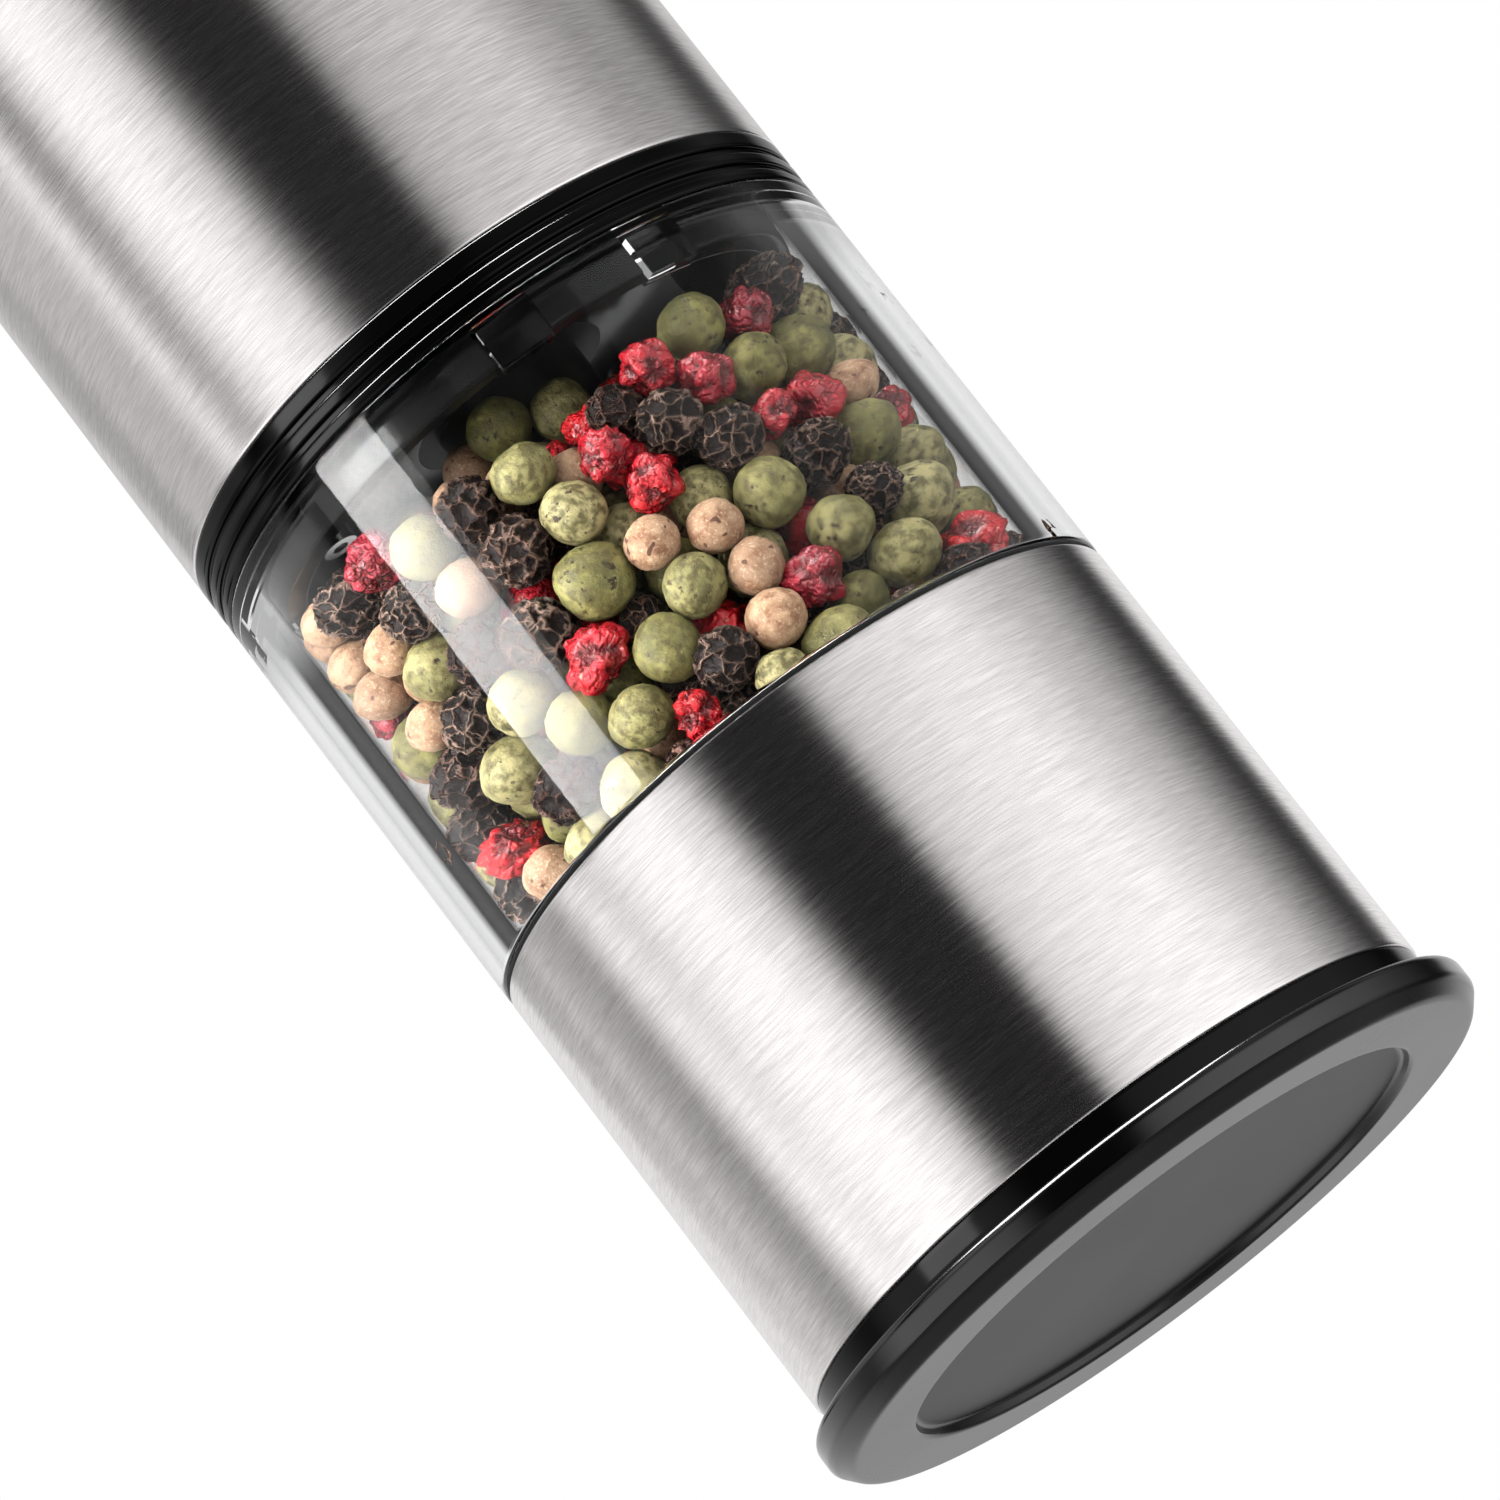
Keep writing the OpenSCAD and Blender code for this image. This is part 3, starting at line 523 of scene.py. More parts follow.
def grained(name, dark, light, gloss, scale, detail, start, end):
    """A matt surface, whose grain shows in its tone, its roughness and its relief."""
    finish = Finish(name)
    grain = finish.texture(scale, detail)
    return finish.made_of(
        finish.mix(grain.between(start, end), dark, light),
        Roughness=gloss + (grain - 0.5) * 0.2, Normal=finish.bump(grain, 0.3, 0.05 * MM))


# %% [markdown]
# ## Clear acrylic
# The jar has a thick clear wall. A Principled shader with full transmission and the index of acrylic
# bends light as the real wall does, which gives the bright and dark streaks along its sides. Lamps
# can't find their way through a bending wall, so for shadow rays the wall turns transparent.

# %% Clear acrylic
ACRYLIC_INDEX = 1.49


def acrylic():
    finish = Finish("clear_acrylic")
    haze = finish.texture((200, 200, 60), 3)
    clear = finish.principled(
        (0.985, 0.99, 0.988), Roughness=haze.between(0.62, 0.8) * 0.01, Transmission_Weight=1.0,
        IOR=ACRYLIC_INDEX, Specular_Tint=finish.opaque(grey(0.1)))
    open_way = finish.node("ShaderNodeBsdfTransparent", None, {"Color": finish.opaque(grey(0.93))})
    shadow = finish.node("ShaderNodeLightPath", output="Is Shadow Ray")
    return finish.surface(finish.blend(shadow, clear, open_way))


STEEL = brushed_steel()
GLOSS_BLACK = moulded("glossy_black", grey(0.003), gloss=0.12, shine=0.1)
SATIN_CAP = cap_finish()
RUBBER = grained("rubber", (0.012, 0.012, 0.013), grey(0.05), 0.75, 900, 4, 0.45, 0.8)
ACRYLIC = acrylic()
print("finishes so far:", [m.name for m in bpy.data.materials])

# %% [markdown]
# ## Turned pieces
# Almost everything outside on this mill is round, so it is made as on a lathe: an outline is carried once
# round the axis. A Geometry Nodes tree does the turning. Its input is the outline, a chain of edges,
# and Curve to Mesh sweeps that along a small guide circle. Merging doubles closes the pole of a disc.
# An outline has only its corners, each with the radius of its rounding, because real edges catch light.

# %% Trees and the lathe
class Tree(Book):
    """A Geometry Nodes tree in the making. Its inputs are a geometry, the named ones and a finish."""

    def __init__(self, name, **inputs):
        super().__init__(bpy.data.node_groups.new(name, "GeometryNodeTree"))
        self.add_socket("Geometry", "Geometry", "OUTPUT")
        for label, kind in {"Geometry": "Geometry", **inputs, "Finish": "Material"}.items():
            self.add_socket(label.replace("_", " "), kind, "INPUT")
        given = self.node("NodeGroupInput").socket.node.outputs
        self.given = {socket.name: Wire(self, socket) for socket in given if socket.name}

    def add_socket(self, label, kind, side):
        self.tree.interface.new_socket(label, in_out=side, socket_type="NodeSocket" + kind)

    def real(self, geometry):
        return self.node("GeometryNodeRealizeInstances", None, {0: geometry})

    def stored(self, name, kind="FLOAT_VECTOR"):
        return self.node("GeometryNodeInputNamedAttribute", {"data_type": kind}, {"Name": name})

    def spread(self, points, piece, turn=None, **more):
        """A copy of the piece at each point, turned by the stored angles of that name."""
        if turn:
            more["Rotation"] = self.node("FunctionNodeEulerToRotation", None, {0: self.stored(turn)})
        return self.node("GeometryNodeInstanceOnPoints", None, {"Points": points, "Instance": piece, **more})

    def ended(self, geometry):
        """Every tree ends alike: real geometry, with its material set."""
        sockets = {"Geometry": self.real(geometry), "Material": self.given["Finish"]}
        self.node("NodeGroupOutput", None, {0: self.node("GeometryNodeSetMaterial", None, sockets)})
        return self.tree


def inputs_of(tree):
    return {s.name: s.identifier for s in tree.interface.items_tree
            if s.item_type == "SOCKET" and s.in_out == "INPUT"}


def lathe_tree():
    book = Tree("lathe", Segments="Int", Guide_radius="Float")
    given = book.given
    outline = book.node("GeometryNodeMeshToCurve", None, {0: given["Geometry"]})
    guide = book.node("GeometryNodeCurvePrimitiveCircle", None,
                      {"Resolution": given["Segments"], "Radius": given["Guide radius"]})
    swept = book.node("GeometryNodeCurveToMesh", None, {"Curve": guide, "Profile Curve": outline})
    closed = book.node("GeometryNodeMergeByDistance", None, {"Geometry": swept, "Distance": 0.001 * MM})
    return book.ended(closed)


def grown(name, mesh, tree, settings):
    """Runs a tree on a mesh and returns the result as a plain mesh object."""
    piece = placed(name, mesh)
    modifier = piece.modifiers.new("grow", "NODES")
    modifier.node_group = tree
    names = inputs_of(tree)
    for label, value in settings.items():
        modifier[names[label]] = value
    result = piece.evaluated_get(bpy.context.evaluated_depsgraph_get())
    made = bpy.data.meshes.new_from_object(result)
    piece.modifiers.clear()
    piece.data = made
    made.name = name
    return piece


LATHE = lathe_tree()
print("lathe inputs:", list(inputs_of(LATHE)))

# %% Outlines
ARC_STEPS = 6
HOLD = 0.25 * MM
GUIDE = 10 * MM
SEGMENTS = 192
SHARP = math.radians(32)


def arc_corner(before, here, after, fillet):
    """The points that round the corner at here, between its two neighbours."""
    back, on = (before - here).normalized(), (after - here).normalized()
    half = back.angle(on) / 2
    centre = here + (back + on).normalized() * fillet / math.sin(half)
    start = here + back * fillet / math.tan(half) - centre
    end = here + on * fillet / math.tan(half) - centre
    first = math.atan2(start.y, start.x)
    turn = (math.atan2(end.y, end.x) - first + math.pi) % math.tau - math.pi
    angles = [first + turn * k / ARC_STEPS for k in range(ARC_STEPS + 1)]
    return [centre + fillet * Vector((math.cos(a), math.sin(a))) for a in angles]


def rounded(corners, closed):
    """Points of an outline, given as corners of (radius, height, rounding in millimetres)."""
    flat = [Vector(corner[:2]) for corner in corners]
    points = []
    for i, (here, corner) in enumerate(zip(flat, corners)):
        is_end = not closed and i in (0, len(flat) - 1)
        if corner[2] and not is_end:
            points += arc_corner(flat[i - 1], here, flat[(i + 1) % len(flat)], corner[2] * MM)
        else:
            points.append(here)
    return points


def held(points, closed):
    """Adds a point near both ends of each long stretch, so that smooth shading stays flat on it."""
    result = []
    following = points[1:] + points[:1]
    for here, after in zip(points, following):
        result.append(here)
        if (after - here).length > 4 * HOLD and (closed or after is not points[0]):
            step = (after - here).normalized() * HOLD
            result += [here + step, after - step]
    return result


def shaded(piece):
    """Smooth shading with sharp corners."""
    piece.data.shade_smooth()
    piece.data.set_sharp_from_angle(angle=SHARP)
    print(piece.name, len(piece.data.polygons), "faces")
    return piece


def turned(name, corners, finish, closed=True):
    """A turned piece. Its outline runs anticlockwise, seen with the axis on the left."""
    points = held(rounded(corners, closed), closed)[::-1]
    count = len(points)
    edges = [(i, (i + 1) % count) for i in range(count if closed else count - 1)]
    mesh = mesh_of(name, [(p.x - GUIDE, -p.y, 0) for p in points], edges)
    return shaded(grown(name, mesh, LATHE, {"Segments": SEGMENTS, "Guide radius": GUIDE, "Finish": finish}))


def stands_for(piece, body, node):
    """The piece rides on that body in place of that part, which is hidden."""
    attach(piece, body)
    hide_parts(node)


# %% [markdown]
# ## The two steel tubes
# Each is a plain tube of 0.6 mm sheet. Its ends are rounded over, as deburred sheet is, and that small
# round is what draws a bright line where the tube meets the black rings.

# %% Steel tubes
SHEET = 0.6 * MM
DEBURR = 0.2


def steel_tube(name, node):
    outer, bottom, top = reach(node), low(node), high(node)
    inner = outer - SHEET
    return turned(name, [(radius, height, DEBURR) for radius, height in (
        (inner, bottom), (outer, bottom), (outer, top), (inner, top))], STEEL)


stands_for(steel_tube("steel_sleeve", "lower_sleeve"), "root", "lower_sleeve")
stands_for(steel_tube("steel_shell", "upper_shell"), "shell", "upper_shell")

# %% [markdown]
# ## Base cap and base ring
# The cap's flange is wider than the tube, with a soft lower edge and a shallow round recess
# underneath. Inside, a rim plugs into the black base ring. The cap has a pole at its middle, so its
# outline is open and starts and ends on the axis.

# %% Base cap and base ring
FLANGE_TOP = 3.2 * MM
RECESS_R = 21.3 * MM
RECESS_DEPTH = 0.8 * MM
PANEL_TOP = 2.8 * MM
CAP_PLUG_R = 21.7 * MM
CAP_PLUG_WALL = 1.4 * MM
RING_GAP = 0.15 * MM
LINING_GAP = 0.1 * MM


def make_base_cap():
    rim, top = reach("base_cap"), high("base_cap")
    inner = CAP_PLUG_R - CAP_PLUG_WALL
    return turned("cap", [
        (0, RECESS_DEPTH, 0), (RECESS_R - 0.2 * MM, RECESS_DEPTH, 0.3), (RECESS_R, 0, 0.3),
        (rim - 1.1 * MM, 0, 0.8), (rim, 1.3 * MM, 0.7), (rim, FLANGE_TOP, 0.6), (CAP_PLUG_R, FLANGE_TOP, 0.2),
        (CAP_PLUG_R, top, 0.3), (inner, top, 0.3), (inner, PANEL_TOP, 0.4), (0, PANEL_TOP, 0)],
        SATIN_CAP, closed=False)


def make_base_ring():
    bottom, top = low("base_ring"), high("base_ring")
    sleeve = low("lower_sleeve")
    outer = reach("lower_sleeve") - RING_GAP
    lining = reach("lower_sleeve") - SHEET - LINING_GAP
    bore = CAP_PLUG_R + 0.3 * MM
    return turned("foot_ring", [
        (bore, bottom, 0.2), (outer, bottom, 0.35), (outer, sleeve, 0.15), (lining, sleeve, 0),
        (lining, top, 0.2), (bore, top, 0.2)], GLOSS_BLACK)


stands_for(make_base_cap(), "cap", "base_cap")
stands_for(make_base_ring(), "root", "base_ring")

# %% [markdown]
# ## Blocks round the axis
# The jar has three pairs of short keys near its top, and the ring's plug has a slot for each, which stops
# the head from turning. One tree serves both. It puts a block at each point of a second object and joins
# it to the turned body, or cuts it out, so no hidden face is left inside the clear wall.

# %% Block tree
KEY_SIZE = Vector((1.6, 4.0, 3.2)) * MM
KEY_ROOT = 0.6 * MM
KEY_TOP_GAP = 0.4 * MM
FIRST_PAIR = 52.5
KEY_SPLIT = 15.5
KEY_TURNS = [math.radians(FIRST_PAIR + side * KEY_SPLIT + 120 * i) for i in range(3) for side in (-1, 1)]


def block_tree(operation):
    """Joins or cuts a block at each point of the Points object, turned as the point says."""
    book = Tree("blocks_" + operation.lower(), Points="Object", Size="Vector")
    spots = book.node("GeometryNodeObjectInfo", None, {"Object": book.given["Points"]}, output="Geometry")
    block = book.node("GeometryNodeMeshCube", None, {"Size": book.given["Size"]})
    blocks = book.real(book.spread(spots, block, "turn"))
    body_socket = 1 if operation == "UNION" else 0
    made = book.node("GeometryNodeMeshBoolean", {"operation": operation, "solver": "EXACT"},
                     {body_socket: book.given["Geometry"]})
    book.feed(made.socket.node.inputs[1], blocks)
    return book.ended(made)


def block_points(radius, height):
    mesh = mesh_of("block_points", ring_of(radius, height, KEY_TURNS))
    turn = mesh.attributes.new("turn", "FLOAT_VECTOR", "POINT")
    turn.data.foreach_set("vector", [part for a in KEY_TURNS for part in (0, 0, a)])
    return placed("block_points", mesh)


def with_blocks(body, operation, inner, outer, bottom, top, width):
    """The turned body with blocks from inner to outer radius joined to it or cut from it."""
    name, mesh, finish = body.name, body.data, body.data.materials[0]
    bpy.data.objects.remove(body)
    points = block_points((inner + outer) / 2, (bottom + top) / 2)
    size = Vector((outer - inner, width, top - bottom))
    piece = shaded(grown(name, mesh, block_tree(operation), {"Points": points, "Size": size, "Finish": finish}))
    bpy.data.objects.remove(points)
    return piece


# %% [markdown]
# ## The clear jar
# The jar is one thick-walled tube with a step where it drops into the sleeve.

# %% Jar
JAR_BORE = 22.7 * MM


def make_jar():
    outer, bottom, top = reach("pepper_jar"), low("pepper_jar"), high("pepper_jar")
    shoulder = high("sleeve_seal")
    neck = outer - SHEET - 0.2 * MM
    tube = turned("jar", [
        (JAR_BORE, bottom, 0.3), (neck, bottom, 0.3), (neck, shoulder, 0), (outer, shoulder, 0.25),
        (outer, top, 0.35), (JAR_BORE, top, 0.35)], ACRYLIC)
    key_top = top - KEY_TOP_GAP
    return with_blocks(tube, "UNION", JAR_BORE - KEY_SIZE.x, JAR_BORE + KEY_ROOT, key_top - KEY_SIZE.z, key_top,
                       KEY_SIZE.y)


stands_for(make_jar(), "root", "pepper_jar")

# %% [markdown]
# ## Black ring and seal
# The ring under the upper tube is glossy, with two fine grooves. Its edges and the grooves' are rounded,
# so each draws a thin bright line round the mill. Below it a plug with a slot for each key goes into the
# jar, and the seal lies in a recess beside it.

# %% Lock ring and seal
GROOVE_DEPTH = 0.35 * MM
GROOVE_H = 0.5 * MM
GROOVE_SHARES = (0.28, 0.62)
RING_FLOOR = 2.4 * MM
PLUG_R = JAR_BORE - 0.3 * MM
PLUG_WALL = 1.8 * MM
SEAL_CLEAR = 0.1 * MM
SLOT_PLAY = 0.3 * MM


def grooved_side(outer, bottom, top):
    """The ring's outside from bottom to top, with a rounded groove at each share of its height."""
    side = [(outer, bottom, 0.3)]
    for share in GROOVE_SHARES:
        middle = bottom + share * (top - bottom)
        edges = [middle - GROOVE_H / 2, middle + GROOVE_H / 2]
        floor = [(outer - GROOVE_DEPTH, z, 0.1) for z in edges]
        side += [(outer, edges[0], 0.2), *floor, (outer, edges[1], 0.2)]
    return side + [(outer, top, 0.2)]


def make_lock_ring():
    bottom, top, lowest = high("pepper_jar"), high("lock_ring"), low("lock_ring")
    floor = top - RING_FLOOR
    bore = reach("output_bush") + 0.05 * MM
    seal_inner, seal_outer = JAR_BORE + 0.3 * MM, reach("neck_seal") + SEAL_CLEAR
    inner = PLUG_R - PLUG_WALL
    seat = high("neck_seal")
    ring = turned("ring", [
        (bore, floor, 0), (inner, floor, 0.3), (inner, lowest, 0.3), (PLUG_R, lowest, 0.3), (PLUG_R, bottom, 0),
        (seal_inner, bottom, 0), (seal_inner, seat, 0), (seal_outer, seat, 0), (seal_outer, bottom, 0),
        *grooved_side(reach("lock_ring"), bottom, top), (bore, top, 0)], GLOSS_BLACK)
    return with_blocks(ring, "DIFFERENCE", JAR_BORE - KEY_SIZE.x - SLOT_PLAY, JAR_BORE + KEY_ROOT,
                       lowest - 0.1 * MM, bottom - 0.1 * MM, KEY_SIZE.y + 2 * SLOT_PLAY)


def make_sleeve_seal():
    outer, bottom, top = reach("sleeve_seal"), low("sleeve_seal"), high("sleeve_seal")
    inner = reach("lower_sleeve") - SHEET - LINING_GAP
    return turned("sleeve_seal_ring", [
        (inner, bottom, 0), (outer, bottom, 0.12), (outer, top, 0.12), (inner, top, 0)], RUBBER)


stands_for(make_lock_ring(), "head", "lock_ring")
stands_for(make_sleeve_seal(), "root", "sleeve_seal")

# %% [markdown]
# ## Peppercorns
# The jar is full of four kinds of corn. Placing hundreds by hand looks wrong, because real ones settle.
# So a small simulation drops them: each is a ball that sinks a little at each step and is pushed
# apart from any ball, wall or shaft that it has sunk into. A fixed seed gives the same heap each run.
# Corns that would lie in the ring's plug are left out, and so are some in front, where the heap dips.

# %% Kinds of peppercorn
CORN_SEED = 11
CORN_COUNT = 1400
CORN_KINDS = {  # share, mean radius and spread of the radius, in millimetres
    "green": (0.23, 2.40, 0.22),
    "black": (0.33, 2.08, 0.20),
    "tan": (0.19, 1.93, 0.14),
    "red": (0.25, 2.05, 0.25),
}
SHAFT_CLEAR = 3.7
FUNNEL = ((33.5, 17.0), (41.0, 22.2))
WALL_CLEAR = 0.15


def draw_corns(rng):
    """A kind and a radius for each corn."""
    names = list(CORN_KINDS)
    kinds = rng.choice(len(names), CORN_COUNT, p=[CORN_KINDS[n][0] for n in names])
    mean, spread = (np.array([CORN_KINDS[n][i] for n in names])[kinds] for i in (1, 2))
    return kinds, mean + spread * np.clip(rng.standard_normal(CORN_COUNT), -1.6, 1.6)


# %% Settling
START_FLAT = (7, 19)
START_HEIGHT = (37, 110)
SETTLE_STEPS = 420
SINK = 0.42
LEAN = (-0.02, -0.03)
NEIGHBOUR_EVERY = 6
PASSES = 4


def wall_at(z):
    """Radius of the jar's inside or of the funnel below it, in millimetres."""
    (z0, r0), (z1, r1) = FUNNEL
    return np.interp(z, [z0, z1, z1 + 1], [r0, r1, JAR_BORE / MM]) - WALL_CLEAR


def keep_inside(spots, radii):
    flat = np.hypot(spots[:, 0], spots[:, 1])
    most = wall_at(spots[:, 2]) - radii
    least = SHAFT_CLEAR + radii
    spots[:, :2] *= (np.clip(flat, least, most) / np.maximum(flat, 0.01))[:, None]
    spots[:, 2] = np.maximum(spots[:, 2], FUNNEL[0][0] + radii)


def push_apart(spots, radii, pairs):
    a, b = pairs
    gap = spots[a] - spots[b]
    length = np.maximum(np.linalg.norm(gap, axis=1), 0.001)
    overlap = np.maximum(radii[a] + radii[b] - length, 0)
    shift = gap * (0.5 * overlap / length)[:, None]
    for axis in range(3):
        pushed_a, pushed_b = (np.bincount(i, shift[:, axis], len(spots)) for i in pairs)
        spots[:, axis] += pushed_a - pushed_b


def near_pairs(spots, radii, margin=2.0):
    gap = np.linalg.norm(spots[:, None] - spots[None], axis=2)
    near = gap < radii[:, None] + radii[None] + margin
    return np.nonzero(np.triu(near, 1))


def settle(radii, rng):
    """Centres of the corns once they have sunk into the jar, in millimetres."""
    angle = rng.uniform(0, math.tau, CORN_COUNT)
    flat = rng.uniform(*START_FLAT, CORN_COUNT)
    spots = np.stack([flat * np.cos(angle), flat * np.sin(angle), rng.uniform(*START_HEIGHT, CORN_COUNT)], 1)
    for step in range(SETTLE_STEPS):
        if step % NEIGHBOUR_EVERY == 0:
            pairs = near_pairs(spots, radii)
        fall = SINK * (1 - step / SETTLE_STEPS) ** 3
        spots += fall * np.array([*LEAN, -1])
        for _ in range(PASSES):
            push_apart(spots, radii, pairs)
            keep_inside(spots, radii)
    return spots


# %% Heap of corns
TOP_AT_WALL = 71.9
TOP_INSIDE = 76.8
PLUG_INNER = 20.3
HOLLOW = (math.radians(274), math.radians(32), 3.2)  # its middle, its width and its depth
MIDDLE_FLAT, MIDDLE_RISE = 12, 4
BOSS = (6.3, 72.0)  # radius and underside of the output's boss
SHOWN_DEPTH, SHOWN_FROM, SHOWN_TOP = 3.2, 39, 65


def fill_jar():
    """Kind, radius and centre of each corn that is left, in millimetres."""
    rng = np.random.default_rng(CORN_SEED)
    kinds, radii = draw_corns(rng)
    spots = settle(radii, rng)
    flat = np.hypot(spots[:, 0], spots[:, 1])
    limit = np.where(flat + radii > PLUG_INNER, TOP_AT_WALL, TOP_INSIDE)
    middle, width, depth = HOLLOW
    off = np.angle(np.exp(1j * (np.arctan2(spots[:, 1], spots[:, 0]) - middle)))
    dip = depth * np.exp(-(off / width) ** 2) * (flat > MIDDLE_FLAT)
    kept = spots[:, 2] + radii < np.minimum(limit, TOP_AT_WALL + MIDDLE_RISE * (flat < MIDDLE_FLAT) - dip)
    kept &= (flat - radii > BOSS[0]) | (spots[:, 2] + radii < BOSS[1])
    return kinds[kept], radii[kept], spots[kept]


corn_kind, corn_radius, corn_spot = fill_jar()
corn_flat, corn_height = np.hypot(corn_spot[:, 0], corn_spot[:, 1]), corn_spot[:, 2]
at_wall = corn_flat + corn_radius > JAR_BORE / MM - SHOWN_DEPTH
corn_shown = at_wall & (corn_height > SHOWN_FROM) | (corn_height > SHOWN_TOP)
print("corns:", len(corn_kind), " shown:", int(corn_shown.sum()), " top:", round(corn_height.max(), 1))

# %% [markdown]
# ## Growing the corns
# A tree turns each centre into a corn: a ball of small triangles, turned at random, then pushed in and
# out along its normals by noise. Black corns get raised ridges from a net of cells, and red ones sharp
# creases, where a noise crosses its middle value. Each ball keeps its own unit-sphere coordinates, so the
# form and the colour of a corn use the same pattern, and no two corns are alike. Corns deep in the heap,
# which nothing shows, are left coarse.

# %% Corn tree
CORN_LABELS = ("Dent", "Dent scale", "Wrinkle", "Wrinkle scale", "Ridge", "Ridge scale", "Fold", "Fold scale")
SEED_STEP = 40


def corn_cells(book, place, seed, scale):
    """Distance to the nearest edge of a net of cells, whose lines wander a little."""
    wander = book.noise(place, 2.5, seed=seed * SEED_STEP, output="Color")
    bent = book.vector("MULTIPLY_ADD", wander, (0.5, 0.5, 0.5), place)
    moved = book.vector("ADD", bent, seed * SEED_STEP)
    return book.node("ShaderNodeTexVoronoi", {"voronoi_dimensions": "3D", "feature": "DISTANCE_TO_EDGE"},
                     {"Vector": moved, "Scale": scale})


def crease_of(noise):
    """1 where a noise crosses its middle value, and 0 away from there."""
    return 1 - (noise - 0.5).math("ABSOLUTE").between(0.0, 0.12)


def corn_tree():
    book = Tree("corns", Detail="Int", **dict.fromkeys(CORN_LABELS, "Float"))
    given = book.given
    ball = book.node("GeometryNodeMeshIcoSphere", None, {"Radius": 1.0, "Subdivisions": given["Detail"]})
    marked = book.node("GeometryNodeStoreNamedAttribute", {"data_type": "FLOAT_VECTOR", "domain": "POINT"}, {
        "Geometry": ball, "Name": "corn_place", "Value": book.node("GeometryNodeInputPosition")})
    real = book.real(book.spread(given["Geometry"], marked, "corn_turn", Scale=book.stored("corn_size")))
    place, seed = book.stored("corn_place"), book.stored("corn_seed", "FLOAT")

    def noise(label, detail, shift):
        return book.noise(place, given[label + " scale"], detail, seed=seed * SEED_STEP + shift)

    relief = 1 - corn_cells(book, place, seed, given["Ridge scale"]).between(0.0, 0.24)
    out = (noise("Dent", 0.0, 3) - 0.5) * given["Dent"]
    out = out + (noise("Wrinkle", 2.0, 7) - 0.5) * given["Wrinkle"]
    out = out + (relief - 0.35) * given["Ridge"] - crease_of(noise("Fold", 1.0, 11)) * given["Fold"]
    outward = out * book.stored("corn_radius", "FLOAT")
    shift = book.vector("SCALE", book.node("GeometryNodeInputNormal"), Scale=outward)
    pushed = book.node("GeometryNodeSetPosition", None, {"Geometry": real, "Offset": shift})
    kept = book.node("GeometryNodeStoreNamedAttribute", {"data_type": "FLOAT", "domain": "POINT"},
                     {"Geometry": pushed, "Name": "corn_relief", "Value": out * 10 + 0.5})
    return book.ended(kept)


CORNS = corn_tree()
print("corn inputs:", list(inputs_of(CORNS)))

# %% [markdown]
# ## Peppercorn skins
# Green corns are olive with dark specks, tan ones are chalky, red ones have a thin glossy shell over a
# crumpled form, and black ones are nearly black with brown ridges. Each skin reads the corn's own
# coordinates and seed, and its relief, so raised parts are lighter and hollows darker; on the red corns
# that darkening in the hollows is painted shade.

# %% Skins
BLACK_CELLS = 1.9


class Skin(Finish):
    """A peppercorn's material, with its stored patterns at hand."""

    def __init__(self, name):
        super().__init__(name)
        self.seed = self.own("corn_seed")
        self.where = self.own("corn_place", "Vector")

    def own(self, name, output="Fac"):
        return self.node("ShaderNodeAttribute", {"attribute_name": name}, output=output)

    def pattern(self, scale, detail=3.0, shift=0.0):
        return self.noise(self.where, scale, detail, 0.55, self.seed * SEED_STEP + shift)


def green_skin():
    skin = Skin("green_corn")
    ripe = skin.mix(skin.pattern(1.2, shift=1).between(0.3, 0.7), (0.07, 0.07, 0.02), (0.20, 0.18, 0.062))
    pale = skin.mix((skin.seed * 0.9).between(0.2, 0.9), ripe, (0.29, 0.255, 0.12))
    specks = skin.pattern(4.5, 2, 2).between(0.60, 0.67) * skin.pattern(1.6, 1, 9).between(0.40, 0.55)
    vein = skin.pattern(3.2, 4, 5).between(0.35, 0.62)
    toned = skin.mix(1 - vein, pale, (0.07, 0.06, 0.02))
    colour = skin.mix(specks, toned, (0.028, 0.016, 0.008))
    return skin.made_of(
        colour, Roughness=0.5 + (vein - 0.5) * 0.15, Specular_IOR_Level=0.25,
        Normal=skin.bump(skin.pattern(6, 4, 3) - specks * 0.3, 0.8, 0.2 * MM))


def black_skin():
    """Near black, with a net of brown ridges. The cells are those that raise the ridges in the tree."""
    skin = Skin("black_corn")
    ridge = 1 - corn_cells(skin, skin.where, skin.seed, BLACK_CELLS).between(0.01, 0.13)
    flaky = skin.pattern(7, 4, 2)
    brown = skin.mix(skin.seed, (0.075, 0.036, 0.026), (0.19, 0.125, 0.095))
    colour = skin.mix(ridge * flaky.between(0.25, 0.5), (0.007, 0.004, 0.0035), brown)
    return skin.made_of(
        colour, Roughness=0.42 + (flaky - 0.5) * 0.3, Specular_IOR_Level=0.15,
        Normal=skin.bump(ridge + flaky * 0.3, 1.0, 0.6 * MM))


def tan_skin():
    skin = Skin("tan_corn")
    blotch = skin.pattern(2.2, 4, 1).between(0.30, 0.66)
    warm = skin.mix(skin.seed, (0.41, 0.262, 0.158), (0.27, 0.172, 0.108))
    base = skin.mix(blotch, (0.17, 0.078, 0.038), warm)
    eye = skin.pattern(3.1, 0, 6).between(0.70, 0.75)
    colour = skin.mix(eye, skin.mix(skin.pattern(9, 3, 4).between(0.5, 0.8), base, (0.49, 0.355, 0.24)),
                      (0.08, 0.035, 0.02))
    return skin.made_of(
        colour, Roughness=0.58 + (blotch - 0.5) * 0.1, Specular_IOR_Level=0.25,
        Normal=skin.bump(skin.pattern(7, 4, 3), 0.7, 0.18 * MM))


